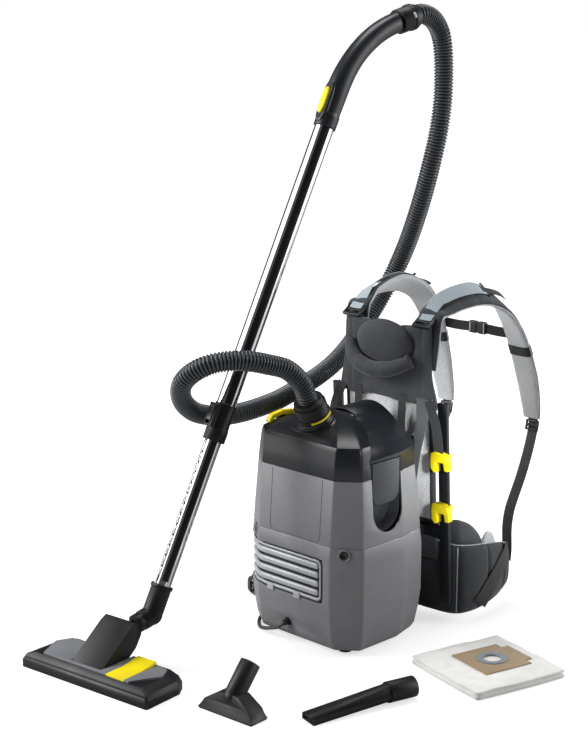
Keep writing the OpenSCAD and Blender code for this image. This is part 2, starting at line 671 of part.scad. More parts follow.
slide_low = 34;                         // the suction slide's well: its foot above the tube's end
slide_run = 12;                         // how far the slide moves each way
module grip_handle() {
    color("#222426") along_wand(wand_len) difference() {
        union() {
            translate([0, 0, 0.5]) cylinder(r = outer_tube_d / 2 + 2.5, h = 26, $fn = 64);
            translate([0, 0, -45]) cylinder(r = outer_tube_d / 2 - tube_wall - 0.3, h = 50, $fn = 64);
            translate([0, 0, 20]) cylinder(r = grip_r + 0.4, h = grip_straight - 20, $fn = 64);
            grip_arc(grip_r);
            translate([-grip_r - 4, -13, slide_low - slide_run - 6]) cube([24, 26, 34 + 2 * slide_run + 12]);
        }
        translate([0, 0, -50]) cylinder(r = 15.6, h = grip_straight + 52, $fn = 48);
        grip_arc(16, 1);
        translate([-grip_r - 5, -10, slide_low - slide_run - 1]) cube([6, 20, 34 + 2 * slide_run + 2]);
    }
}

module suction_slide() {
    color("#f2d600") along_wand(wand_len) translate([-grip_r - 5.5, 0, slide_low]) {
        translate([0, -9.4, 0]) cube([6.2, 18.8, 34]);
        translate([-2, 0, 17]) rotate([0, 90, 0]) cylinder(r = 9, h = 3, $fn = 48);
    }
}

module handle_cuff() {
    color("#1d1f21") along_wand(wand_len) translate([0, 0, grip_straight]) translate([grip_bend_r, 0, 0])
        rotate([0, grip_bend, 0]) translate([-grip_bend_r, 0, run_gap]) difference() {
            union() {
                cylinder(r = grip_r + 5, h = cuff_len - 20, $fn = 64);
                translate([0, 0, cuff_len - 20]) cylinder(r = grip_r + 7, h = 10, $fn = 64);
                translate([0, 0, cuff_len - 10]) cylinder(r = grip_r + 3, h = 10, $fn = 64);
            }
            translate([0, 0, -1]) cylinder(r = 17, h = 12, $fn = 64);
            translate([0, 0, 10]) cylinder(r = bore_r, h = cuff_len, $fn = 64);
        }
}

module outer_tube() {
    color("#c9cbcd") along_wand(inner_show) pipe(outer_tube_d / 2, outer_len, outer_tube_d / 2 - tube_wall);
}

module outer_strip() {
    r = outer_tube_d / 2;
    color("#151617") along_wand(inner_show + 92) intersection() {
        pipe(r + 1.4, outer_len - 96, r);
        rotate([0, 0, -62]) translate([0, -5, -1]) cube([40, 10, outer_len]);
    }
}

module tube_lock() {
    r = outer_tube_d / 2;
    color("#1b1c1e") along_wand(inner_show) difference() {
        union() {
            translate([0, 0, -8]) cylinder(r = r + 3, h = 26, $fn = 64);
            translate([0, 0, 18]) cylinder(r = r + 1.8, h = 52, $fn = 64);
            translate([-r - 10, -12, 18]) cube([16, 24, 48]);
        }
        translate([0, 0, -20]) cylinder(r = r, h = 120, $fn = 64);
        translate([-r - 11, -8.4, 22]) cube([7, 16.8, 40]);
    }
}

lock_travel = 7;
module lock_button() {
    r = outer_tube_d / 2;
    color("#2c2e30") along_wand(inner_show)
        translate([-r - 12.5, -8, 22.5 + lock_travel]) cube([8.2, 16, 39 - lock_travel]);
}

module inner_tube() {
    r = inner_tube_d / 2;
    color("#d6d8da") along_wand(-4) difference() {
        cylinder(r = r, h = inner_show + 130, $fn = 64);
        translate([0, 0, -1]) cylinder(r = r - tube_wall, h = inner_show + 140, $fn = 64);
        for (k = [0:13]) translate([-r - 3, 0, 60 + k * 22]) rotate([0, 90, 0])
            cylinder(r = 2.4, h = 3.6, $fn = 24);
    }
}

module inner_strip() {
    r = inner_tube_d / 2;
    color("#151617") along_wand(46) intersection() {
        pipe(r + 0.7, inner_show + 60, r);
        rotate([0, 0, -62]) translate([0, -4, -1]) cube([30, 8, inner_show + 80]);
    }
}

// ---------------------------------------------------------------- floor tool

neck_reach = norm(throat_end - neck_bend);
neck_wall = 3.5;

// A round stretch of the neck, aimed from the bend at the throat, from a to b along its line.
module below_bend(r, a, b) {
    translate(neck_bend) aim(swivel_dir) translate([0, 0, a]) cylinder(r = r, h = b - a, $fn = 64);
}

module tool_neck() {
    r = inner_tube_d / 2;
    color("#1c1d1f") difference() {
        union() {
            along_wand(-26) cylinder(r = r + neck_wall, h = 62, $fn = 64);
            along_wand(30) cylinder(r = r + neck_wall + 2, h = 7, $fn = 64);
            translate(neck_bend) sphere(r = r + neck_wall + 0.6, $fn = 64);
            below_bend(r + neck_wall - 0.5, 0, neck_reach - 8);
        }
        along_wand(-4.4) cylinder(r = r, h = 80, $fn = 64);
        along_wand(-26) cylinder(r = r - 4.6, h = 40, $fn = 64);
        translate(neck_bend) sphere(r = r - 3.4, $fn = 64);
        below_bend(r - 4, 0, neck_reach);
    }
}

// The throat, a wedge that tilts about a pin in the floor tool and carries the neck's swivel.
module tool_throat() {
    r = inner_tube_d / 2;
    color("#202224") difference() {
        union() {
            on_tool() translate([pivot_at[0] - throat_w / 2, 0, 0]) rotate([90, 0, 90]) linear_extrude(throat_w)
                polygon([[-36, 30], [-36, 36], [44, 96], [60, 104], [72, 98], [76, 76], [60, 52], [30, 29], [10, 25],
                    [-14, 25]]);
            below_bend(r + 2, neck_reach - 8 + run_gap, neck_reach + 8);
            below_bend(r - 4 - pin_fit, neck_reach - 22, neck_reach);
        }
        below_bend(r - 8, neck_reach - 30, neck_reach + 14);
        on_tool() translate([pivot_at[0] - 30, 0, 0]) rotate([90, 0, 90]) linear_extrude(60)
            polygon([[-22, 20], [-22, 34], [30, 80], [62, 96], [66, 78], [30, 40], [8, 20]]);
        on_tool() translate(pivot_at) rotate([0, 90, 0])
            cylinder(r = pivot_r + pin_fit, h = throat_w + 2, center = true, $fn = 48);
    }
}

// Plan of the floor tool: straight in front, with its rear corners cut off.
function tool_ring(w, front, back, z) = [for (q = round_poly([[w / 2, front], [w / 2 - 2, back - 26],
    [w / 2 - 18, back], [18 - w / 2, back], [2 - w / 2, back - 26], [-w / 2, front]], 5)) [q[0], q[1], z]];

base_top_z = 34;
panel_low_z = 30;
panel_top_z = 38;
function panel_plan(inset) = [[-122 + inset, inset - 46], [112 - inset, inset - 46], [146 - inset, 12],
    [130 - inset, 44 - inset], [60, 52 - inset], [-60, 52 - inset], [-132 + inset, 44 - inset], [-148 + inset, 12]];

// Room for the throat and the pedal in the base and its panel.
module throat_well(gap) {
    translate([pivot_at[0] - throat_w / 2 - gap, -40, 12]) cube([throat_w + 2 * gap, tool_d, 60]);
}

module pedal_well(gap) {
    translate([pedal_at[0] - pedal_w / 2 - gap, -pedal_d / 2 - gap, 20]) cube([pedal_w + 2 * gap, pedal_d + 2 * gap, 40]);
}

module cross_pin(at, r, h) {
    translate(at) rotate([0, 90, 0]) cylinder(r = r, h = h, center = true, $fn = 32);
}

module tool_top() {
    color("#7b7d7f") on_tool() difference() {
        translate([0, 0, panel_low_z]) linear_extrude(panel_top_z - panel_low_z) polygon(panel_plan(0.3));
        throat_well(1);
        pedal_well(1);
        cross_pin(pivot_at, pivot_r + 0.2, throat_w + 11);
        cross_pin(pedal_at, 2.5 + pin_fit, pedal_w + 16);
    }
}

module tool_base() {
    h = tool_d / 2;
    color("#151618") on_tool() {
        difference() {
            skin([tool_ring(tool_w, -h, h, 0), tool_ring(tool_w, -h, h, 15), tool_ring(tool_w - 12, 6 - h, h - 3, 26),
                tool_ring(tool_w - 50, 12 - h, h - 6, base_top_z)]);
            translate([0, 0, panel_low_z]) linear_extrude(20) polygon(panel_plan(0));
            throat_well(1);
            pedal_well(1);
            translate([-tool_w / 2 + 14, -18, -1]) cube([tool_w - 28, 34, 7]);
            translate([pivot_at[0] - 28, -12, -1]) cube([56, 24, 20]);
            translate([-tool_w / 2 + 8, 3 - h, -1]) cube([tool_w - 16, 6, 22]);
        }
        cross_pin(pivot_at, pivot_r, throat_w + 10);
    }
}

brush_travel = 6;
module tool_brush() {
    h = tool_d / 2;
    tufts = 24;
    pitch = (tool_w - 18) / tufts;
    color("#0d0d0e") on_tool() {
        translate([-tool_w / 2 + 8.5, 3.5 - h, 8]) cube([tool_w - 17, 5, 20 - 8 - brush_travel]);
        for (k = [0:tufts - 1]) translate([-tool_w / 2 + 9.5 + k * pitch, 3.9 - h, 0.6])
            cube([pitch - 1.6, 4.2, 8]);
    }
}

// A rocker, pressed at its front: its rear half stands up.
pedal_tip = 5;
module tool_pedal() {
    color("#f2d600") on_tool() {
        translate(pedal_at) rotate([pedal_tip, 0, 0]) for (m = [0, 1]) mirror([0, m, 0]) rotate([pedal_tip, 0, 0])
            translate([-pedal_w / 2, 0, -1]) cube([pedal_w, pedal_d / 2, 6]);
        cross_pin(pedal_at, 2.5, pedal_w + 14);
    }
}

// ---------------------------------------------------------------- loose tools

socket_r = inner_tube_d / 2 + 0.1;      // the small tools push onto the wand's inner tube
upholstery_pos = [162, -448, 0];
upholstery_turn = 4;
module upholstery_tool() {
    lean = -42;
    color("#1e2022") translate(upholstery_pos) rotate([0, 0, upholstery_turn]) difference() {
        union() {
            skin([for (s = [[66, -24, 19, 0], [68, -26, 20, 4], [62, -22, 18, 12], [56, -20, 18, 22], [24, -14, 18, 42]])
                [[-s[0], s[1], s[3]], [s[0], s[1], s[3]], [s[0], s[2], s[3]], [-s[0], s[2], s[3]]]]);
            translate([0, 0, 32]) rotate([lean, 0, 0]) cylinder(r = 20, h = 72, $fn = 48);
            translate([0, 0, 32]) sphere(r = 19.5, $fn = 48);
        }
        translate([0, 0, 32]) rotate([lean, 0, 0]) translate([0, 0, 16]) cylinder(r = socket_r, h = 70, $fn = 48);
        translate([-56, -16, -1]) cube([112, 26, 6]);
        translate([0, 0, -1]) cylinder(r = 9, h = 40, $fn = 40);
    }
}

module crevice_tool() {
    color("#17181a") translate([295, -360, 21]) rotate([0, 90, 75]) translate([0, 0, -20]) difference() {
        union() {
            translate([0, 0, 175]) cylinder(r = 20.6, h = 60, $fn = 48);
            hull() {
                translate([0, 0, 174]) cylinder(r = 18, h = 3, $fn = 32);
                translate([14.6, 0, 1]) cube([12, 42, 2], center = true);
            }
        }
        translate([0, 0, 180]) cylinder(r = socket_r, h = 60, $fn = 48);
        hull() {
            translate([0, 0, 178]) cylinder(r = 14, h = 3, $fn = 32);
            translate([14.6, 0, -1]) cube([6, 36, 2], center = true);
        }
    }
}

spare_pos = [376, 45, 0];
spare_turn = -14;
module spare_bag() {
    color("#efefec") translate(spare_pos) rotate([0, 0, spare_turn]) skin([for (s = [[0, 6], [4, 1], [12, 0], [19, 3], [22, 12]])
        [for (q = round_poly([[112 - s[1], s[1] - 112], [112 - s[1], 112 - s[1]], [s[1] - 112, 112 - s[1]],
            [s[1] - 112, s[1] - 112]], 12)) [q[0], q[1], s[0]]]]);
}

module spare_bag_plate() {
    color("#a98c6a") translate(spare_pos) rotate([0, 0, spare_turn]) translate([0, 11, 22.2]) difference() {
        union() {
            translate([-57, -58, 0]) cube([114, 112, 2]);
            translate([-38, 0, 0]) cube([76, 70, 2]);
            cylinder(r = 30, h = 4, $fn = 48);
        }
        translate([0, 0, -1]) cylinder(r = 19, h = 8, $fn = 48);
    }
}

// ---------------------------------------------------------------- cord

module cord_gland() {
    color("#2a2b2c") translate(gland_pos) rotate([90, 0, 0]) {
        difference() {
            union() {
                translate([0, 0, -8]) cylinder(r = 8.9, h = 9, $fn = 48);
                cylinder(r = 7, h = 12, $fn = 48);
            }
            translate([0, 0, -20]) cylinder(r = cord_d / 2, h = 50, $fn = 40);
        }
    }
}

cord_points = curve(concat([gland_pos + [0, 4, 0], gland_pos + [0, -4, 0], gland_pos + [0, -12, 0]], cord_route), 3);
cord_runs = runs(cord_points);
lead_rings = 44;
cord_span = cord_runs[len(cord_runs) - 1];

module cord_lead() {
    p = [for (i = [0:lead_rings]) at_length(cord_points, cord_runs, min(cord_span - eps, i * cord_span / lead_rings))];
    color("#4a4b4d") skin(tube_rings(p, [for (q = p) cord_d / 2 - 0.1], 8));
}

// The coil winds in and out in four layers; it climbs a layer in the half turn where it reverses,
// and swings out of the way of its neighbours while it climbs.
coil_layers = 4;
turns_a_layer = coil_turns / coil_layers;
coil_rings = 18;
function coil_point(a) = let (turn = a / 360, layer = min(coil_layers - 1, floor(turn / turns_a_layer)),
    f = turn - layer * turns_a_layer, way = layer % 2 == 0 ? 1 : -1,
    climb = layer < coil_layers - 1 ? max(0, (f - turns_a_layer + 0.5) / 0.5) : 0,
    r = coil_r + way * coil_pitch * (turns_a_layer / 2 - f - 0.5 * sin(180 * climb)))
    [-r * sin(a), -r * cos(a), cord_d / 2 + 0.5 + coil_pitch * (layer + climb)];
coil_points = [for (i = [0:coil_turns * coil_rings]) coil_point(i * 360 / coil_rings) + coil_center];
coil_len = runs(coil_points)[len(coil_points) - 1];
// Least space between the coil's turns, measured between points over half a turn apart.
coil_clear = min([for (i = [0:len(coil_points) - 1]) for (j = [i + coil_rings / 2:1:len(coil_points) - 1])
    norm(coil_points[i] - coil_points[j])]) - cord_d + 0.2;
echo(cord_length = cord_span + coil_len, coil_self_gap = coil_clear);

module cord_coil() {
    color("#4a4b4d") skin(tube_rings(coil_points, [for (q = coil_points) cord_d / 2 - 0.1], 6));
}

plug_pos = coil_center + [0, coil_r - 6, coil_layers * coil_pitch + 14];
module plug() {
    color("#2b2c2e") translate(plug_pos) rotate([90, 0, 60]) {
        translate([0, 0, -14]) cylinder(r = 14, h = 34, $fn = 48);
        translate([0, 0, -30]) cylinder(r = 8, h = 17, $fn = 40);
    }
    color("#c8cacc") translate(plug_pos) rotate([90, 0, 60]) for (y = [-9.5, 9.5]) translate([y, 0, 18])
        cylinder(r = 2.4, h = 20, $fn = 24);
}

// ---------------------------------------------------------------- harness

module rail_frame() {
    translate([0, rail_y, rail_top_z]) rotate([rail_lean, 0, 0]) children();
}

module harness_frame() {
    h = rail_top_z - rail_low_z;
    color("#1a1b1c") {
        rail_frame() for (x = [-1, 1]) translate([x * rail_span / 2 - rail_w / 2, -4, -h]) cube([rail_w, 8, h]);
        rail_frame() for (z = [-104, -300]) translate([-rail_span / 2, -2.5, z]) cube([rail_span, 5, 30]);
        for (x = [-1, 1], s = [[rail_top_z - 92, body_d / 2 - 1.2], [rail_top_z - 286, body_d / 2 + bulge + 0.3]])
            translate([x * 80 - 13, s[1], s[0] - 12])
                cube([26, rail_y - s[1] + (rail_top_z - s[0]) * tan(rail_lean), 20]);
    }
}

module back_mesh() {
    w = rail_span - rail_w - 8;
    color("#c9ccd0") rail_frame() translate([-w / 2, 2.5, -262]) cube([w, 7, 268]);
}

// The yoke and its pads: closed skins over rings of a bowed slab.
function slab(w0, w1, z0, z1, y, t, bow, steps = 8) = [for (i = [0:steps]) let (x = -1 + 2 * i / steps,
    w = 1, b = bow * (1 - x * x)) [
        [x * w0 / 2, y - b, z0], [x * w0 / 2, y + t, z0], [x * w1 / 2, y + t, z1], [x * w1 / 2, y - b, z1]]];

module yoke_panel() {
    color("#2b2c2e") difference() {
        skin(slab(yoke_w, yoke_w - 40, 478, 642, yoke_y - 6, 13.2, 4));
        translate([0, yoke_y + 40, 650]) rotate([90, 0, 0]) cylinder(r = 24, h = 90, $fn = 48);
    }
}

// An oval cushion, fullest in its middle.
module yoke_pad() {
    color("#333436") translate([0, yoke_y - 10.4, 600]) rotate([90, 0, 0]) skin([for (s = [[1, 0], [1, 0.25], [0.93, 0.6],
        [0.74, 0.85], [0.4, 0.98]]) [for (k = [0:23]) [s[0] * 73 * cos(k * 15), s[0] * 47 * sin(k * 15), 18 * s[1]]]]);
}

roll_route = [[-94, yoke_y - 14, 588], [-78, yoke_y - 27, 570], [-52, yoke_y - 36, 554], [-12, yoke_y - 40, 545],
    [30, yoke_y - 36, 549], [58, yoke_y - 28, 559], [74, yoke_y - 20, 568]];
module grip_roll() {
    p = curve(roll_route, 3);
    color("#262729") skin(tube_rings(p, [for (i = [0:len(p) - 1]) 10 + 3 * sin(150 * i / (len(p) - 1))], 10));
}

strap_route = [[101, 180, 664], [102, 196, 673], [104, 228, 685], [107, 268, 692], [108, 310, 693],
    [110, 352, 683], [112, 392, 661], [115, 426, 622], [119, 453, 573], [122, 474, 520], [124, 490, 468],
    [124, 502, 420], [124, 506, 392]];
module strap() {
    p = curve(strap_route, 3);
    n = len(p) - 1;
    skin(band_rings(p, [1, 0, 0], [for (i = [0:n]) strap_w * (i > n - 6 ? 1 - 0.09 * (i - n + 6) : 1)],
        [for (i = [0:n]) strap_t * (i < 3 ? 0.7 : (i > n - 5 ? 0.7 : 1))]));
}

module shoulder_straps() {
    color("#3a3b3d") both_sides() strap();
}

module strap_buckles() {
    color("#1c1d1e") both_sides() {
        translate([98, 163, 654.3]) rotate([34, 0, 0]) difference() {
            cube([46, 36, 7], center = true);
            for (y = [-8, 8]) translate([0, y, 0]) cube([34, 6, 20], center = true);
        }
        translate([124, 508, 374]) rotate([80, 0, 0]) difference() {
            cube([34, 24, 5], center = true);
            for (y = [-5.5, 5.5]) translate([0, y, 0]) cube([26, 5, 20], center = true);
        }
    }
}

webbing_route = [[124, 513.6, 381], [124, 510.8, 364.5], [127, 498, 336], [131, 478, 300], [135, 455, 264],
    [138, 430, 228], [142, 410, 196], [146, 396, 160], [147, 392, 133]];
module lower_webbing() {
    p = curve(webbing_route, 3);
    color("#2a2b2c") both_sides() skin(band_rings(p, [1, 0, 0], [for (q = p) 26], [for (q = p) 2.4]));
}

chest_y = 461.2;
module chest_strap() {
    color("#202122") {
        translate([-98, chest_y, 575]) cube([196, 3, 22]);
        translate([-24, chest_y - 4, 571]) cube([48, 11, 30]);
    }
}

belt_route = [[-148, 392], [-166, 340], [-175, 290], [-173, 240], [-152, 207], [-90, 201], [0, 200],
    [90, 201], [152, 207], [173, 240], [175, 290], [166, 340], [148, 392]];
module hip_belt() {
    flat = [for (q = belt_route) [q[0], q[1], 0]];
    p = curve(flat, 3);
    n = len(p) - 1;
    function rise(i) = let (u = abs(2 * i / n - 1)) belt_h * (1 - 0.42 * pow(u, 3));
    color("#1f2022") skin([for (i = [0:n]) let (h = heading_at(p, i), s = cross([0, 0, 1], h), z0 = 16 + (belt_h - rise(i)) * 0.35,
        z1 = z0 + rise(i), m = (z0 + z1) / 2) [
            p[i] - 7 * s + [0, 0, z0 + 6], p[i] + [0, 0, z0], p[i] + 7 * s + [0, 0, z0 + 6],
            p[i] + 13 * s + [0, 0, m], p[i] + 7 * s + [0, 0, z1 - 6], p[i] + [0, 0, z1],
            p[i] - 7 * s + [0, 0, z1 - 6], p[i] - 13 * s + [0, 0, m]]]);
}

// A clip that slides on a rail, with a hook in front of it whose mouth opens downwards.
hook_plate = [[-21, 2], [-19, 19], [-8, 23], [12, 21], [22, 14], [25, 4], [25, -14], [16, -14], [14, 0], [12, 2],
    [-4, 2], [-6, 0], [-6, -21], [-12, -23], [-20, -15]];
module rail_hook(z) {
    slot = [rail_w + 2 * run_gap, 8 + 2 * run_gap];
    color("#f2d600") rail_frame() translate([rail_span / 2, 0, z - rail_top_z]) difference() {
        union() {
            translate([-rail_w / 2 - 4, -8, 2]) cube([rail_w + 8, 16, 14]);
            translate([2, -7, 0]) rotate([90, 0, 0]) linear_extrude(15) polygon(hook_plate);
        }
        translate([-slot[0] / 2, -slot[1] / 2, -40]) cube([slot[0], slot[1], 80]);
    }
}

module rail_hook_upper() {
    rail_hook(hook_z[0]);
}

module rail_hook_lower() {
    rail_hook(hook_z[1]);
}

// ---------------------------------------------------------------- output

base_shell();
chamber_shell();
rear_cover();
rubber_feet();
housing_screws();
exhaust_grille();
exhaust_filter();
motor_housing();
motor_seals();
fan_rotor();
motor_filter();
filter_bag();
bag_holder();
lid_seal();
accessory_pocket();
pocket_flap();
lid();
lid_hinge_pin();
lid_latch();
latch_bracket();
inlet_ring();
hose_collar();
collar_mark();
hose();
handle_cuff();
grip_handle();
suction_slide();
outer_tube();
outer_strip();
tube_lock();
lock_button();
inner_tube();
inner_strip();
tool_neck();
tool_throat();
tool_top();
tool_base();
tool_brush();
tool_pedal();
upholstery_tool();
crevice_tool();
spare_bag();
spare_bag_plate();
cord_gland();
cord_lead();
cord_coil();
plug();
harness_frame();
back_mesh();
yoke_panel();
yoke_pad();
grip_roll();
shoulder_straps();
strap_buckles();
lower_webbing();
chest_strap();
hip_belt();
rail_hook_upper();
rail_hook_lower();
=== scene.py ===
"""Backpack vacuum cleaner with harness, hose, wand and tools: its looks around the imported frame.

Lengths are metres. +Z is up, -Y is the casing's front and +Y is the wearer's side.
"""

import logging
import math
from dataclasses import dataclass
from enum import Enum
from functools import lru_cache

import bmesh
import bpy
import numpy as np
from mathutils import Matrix, Vector
from mathutils.bvhtree import BVHTree


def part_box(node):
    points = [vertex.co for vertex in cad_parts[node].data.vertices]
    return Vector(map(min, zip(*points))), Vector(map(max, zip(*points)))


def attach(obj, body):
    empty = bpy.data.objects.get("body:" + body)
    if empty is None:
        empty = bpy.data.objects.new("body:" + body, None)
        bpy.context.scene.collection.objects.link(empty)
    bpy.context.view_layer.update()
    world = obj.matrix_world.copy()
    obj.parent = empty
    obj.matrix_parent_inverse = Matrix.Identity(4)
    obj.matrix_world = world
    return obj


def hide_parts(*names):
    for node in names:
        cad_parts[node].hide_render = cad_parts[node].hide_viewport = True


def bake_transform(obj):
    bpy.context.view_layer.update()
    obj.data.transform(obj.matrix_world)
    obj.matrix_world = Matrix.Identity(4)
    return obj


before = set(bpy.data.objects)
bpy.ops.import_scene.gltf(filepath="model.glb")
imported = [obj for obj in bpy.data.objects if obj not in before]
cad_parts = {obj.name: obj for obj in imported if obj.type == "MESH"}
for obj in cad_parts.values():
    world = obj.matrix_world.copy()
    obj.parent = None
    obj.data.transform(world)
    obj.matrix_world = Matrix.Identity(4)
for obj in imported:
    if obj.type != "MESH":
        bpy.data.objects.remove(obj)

LOG = logging.getLogger("backpack_vacuum")
MM = 0.001
ROUND = 56  # points round a small turned piece
SIDES = ((1.0, "right"), (-1.0, "left"))
UP = (0.0, 0.0, 1.0)
Points = np.ndarray
Tree, Socket, Material = bpy.types.NodeTree, bpy.types.NodeSocket, bpy.types.Material
Mesh, Piece = bpy.types.Mesh, bpy.types.Object


# ---- colour and nodes


def linear(code: str) -> tuple[float, float, float, float]:
    """Turns an sRGB hex colour into linear light.

    Args:
        code: colour as "#rrggbb".

    Returns:
        Red, green, blue and an alpha of 1.
    """
    srgb = np.array([int(code[i : i + 2], 16) for i in (1, 3, 5)]) / 255
    light = np.where(srgb <= 0.04045, srgb / 12.92, ((srgb + 0.055) / 1.055) ** 2.4)
    return (*light.tolist(), 1.0)


def add_node(tree: Tree, kind: str, inputs: dict | None = None, **settings: object) -> bpy.types.Node:
    """Adds one node with its settings and links.

    Args:
        tree: node tree that the node joins.
        kind: Blender's name of the node, without "ShaderNode".
        inputs: for a socket's name or number, a value or the socket that feeds it.
        **settings: the node's own properties.

    Returns:
        The new node.
    """
    node = tree.nodes.new("ShaderNode" + kind)
    for name, value in settings.items():
        setattr(node, name, value)
    for key, value in (inputs or {}).items():
        if isinstance(value, Socket):
            tree.links.new(value, node.inputs[key])
        else:
            node.inputs[key].default_value = value
    return node


def new_material(name: str) -> tuple[Material, Tree]:
    """Makes an empty material with nodes.

    Args:
        name: the finish's name.

    Returns:
        The material and its empty tree.
    """
    material = bpy.data.materials.new(name)
    material.use_nodes = True
    material.node_tree.nodes.clear()
    return material, material.node_tree


def close_tree(tree: Tree, shader: dict) -> None:
    """Ends a tree with the principled shader.

    Args:
        tree: tree of the material.
        shader: values and sockets of the principled shader.
    """
    principled = add_node(tree, "BsdfPrincipled", shader)
    add_node(tree, "OutputMaterial", {"Surface": principled.outputs[0]})


def noise(
    tree: Tree,
    place: Socket,
    scale: float,
    detail: float = 2.0,
    rough: float = 0.5,
    distortion: float = 0.0,
) -> Socket:
    """Adds a noise texture.

    Args:
        tree: tree of the material.
        place: socket of the coordinates.
        scale: repeats in a metre.
        detail: how many finer layers it has.
        rough: how strong those are.
        distortion: how far it is warped.

    Returns:
        Socket of its value.
    """
    inputs = {"Vector": place, "Scale": scale, "Detail": detail, "Roughness": rough, "Distortion": distortion}
    return add_node(tree, "TexNoise", inputs).outputs[0]


def mapped(tree: Tree, value: Socket, source: tuple, target: tuple) -> Socket:
    """Maps a value from one range to another and holds it within the second.

    Args:
        tree: tree of the material.
        value: socket of the value.
        source: start and end of the first range.
        target: what those become.

    Returns:
        Socket of the new value.
    """
    ends = dict(zip(("From Min", "From Max", "To Min", "To Max"), (*source, *target)))
    return add_node(tree, "MapRange", {"Value": value, **ends}).outputs[0]


def shaded(tree: Tree, value: Socket, colour: str, stops: tuple, gains: tuple) -> Socket:
    """Varies a colour between a darker and a lighter shade of it.

    Args:
        tree: tree of the material.
        value: socket that chooses the shade.
        colour: sRGB hex.
        stops: values at which the darker shade ends and the lighter one starts.
        gains: brightness of both shades, as shares of the colour's.

    Returns:
        Socket of the colour.
    """
    ramp = add_node(tree, "ValToRGB", {"Fac": value})
    base = np.array(linear(colour)[:3])
    for element, stop, gain in zip(ramp.color_ramp.elements, stops, gains):
        element.position = stop
        element.color = (*(base * gain), 1)
    return ramp.outputs[0]


def bumped(tree: Tree, height: Socket, distance: float, strength: float, **under: object) -> Socket:
    """Adds a bump.

    Args:
        tree: tree of the material.
        height: socket of the height from 0 to 1.
        distance: what a height of 1 stands for, in metres.
        strength: how much of it shows.
        **under: Normal, the socket of a coarser bump under this one.

    Returns:
        Socket of the normal.
    """
    inputs = {"Height": height, "Distance": distance, "Strength": strength, **under}
    return add_node(tree, "Bump", inputs).outputs[0]


# ---- finishes


@dataclass(frozen=True)
class Finish:
    """A surface finish. It makes its material once.

    Attributes:
        name: the material's name.
        slot: its material slot in the record; not used by the script.
    """

    name: str
    slot: str

    def build(self) -> Material:
        """Makes the material."""
        raise NotImplementedError

    def material(self) -> Material:
        """Returns the finish's one material."""
        return bpy.data.materials.get(self.name) or self.build()


@dataclass(frozen=True)
class Moulded(Finish):
    """Injection-moulded plastic: a fine spark-eroded grain, slightly uneven gloss and soft cloudy colour.

    Attributes:
        colour: sRGB hex.
        rough: mean roughness.
        grain_mm: size of the mould's grain.
        grain_depth_mm: depth of that grain.
        ior: refractive index of the plastic.
    """

    colour: str
    rough: float = 0.42
    grain_mm: float = 0.9
    grain_depth_mm: float = 0.02
    ior: float = 1.5

    def build(self) -> Material:
        """Makes the plastic: cloudy colour, grain bump and worn gloss on object coordinates.

        Returns:
            The material.
        """
        material, tree = new_material(self.name)
        place = add_node(tree, "TexCoord").outputs["Object"]
        cloud = noise(tree, place, 22.0, 3.0, 0.6)
        grain = noise(tree, place, 1 / (self.grain_mm * MM))
        smudge = noise(tree, place, 7.0, 5.0, 0.65)
        close_tree(
            tree,
            {
                "Base Color": shaded(tree, cloud, self.colour, (0.3, 0.75), (0.93, 1.06)),
                "Roughness": mapped(tree, smudge, (0.3, 0.7), (self.rough - 0.05, self.rough + 0.07)),
                "Normal": bumped(tree, grain, self.grain_depth_mm * MM, 0.8),
                "IOR": self.ior,
            },
        )
        return material


@dataclass(frozen=True)
class Metal(Finish):
    """Bare or plated metal: a clean mirror with faint drawing lines and finger smudges.

    Attributes:
        colour: sRGB hex of the metal.
        rough: mean roughness.
        line_mm: spacing of the lines that drawing leaves along the part.
        line_depth_mm: depth of those lines.
    """

    colour: str
    rough: float
    line_mm: float = 0.8
    line_depth_mm: float = 0.002

    def build(self) -> Material:
        """Makes the metal: stretched noise for the drawing lines, smudges in the roughness.

        Returns:
            The material.
        """
        material, tree = new_material(self.name)
        place = add_node(tree, "TexCoord").outputs["Object"]
        stretched = add_node(tree, "Mapping", {"Vector": place, "Scale": (1.0, 1.0, 0.04)}).outputs[0]
        lines = noise(tree, stretched, 1 / (self.line_mm * MM))
        smudge = noise(tree, place, 16.0, 6.0, 0.6)
        close_tree(
            tree,
            {
                "Base Color": linear(self.colour),
                "Metallic": 1.0,
                "Roughness": mapped(tree, smudge, (0.35, 0.75), (self.rough, self.rough + 0.1)),
                "Normal": bumped(tree, lines, self.line_depth_mm * MM, 0.5),
            },
        )
        return material


class Weave(Enum):
    """How a cloth is made: the look of its threads."""

    PLAIN = "plain"  # crossing threads, as on pack cloth
    RIBBED = "ribbed"  # fine ribs along the band, as on nylon webbing
    SPACER = "spacer"  # open knit with rows of small holes, as on padding mesh


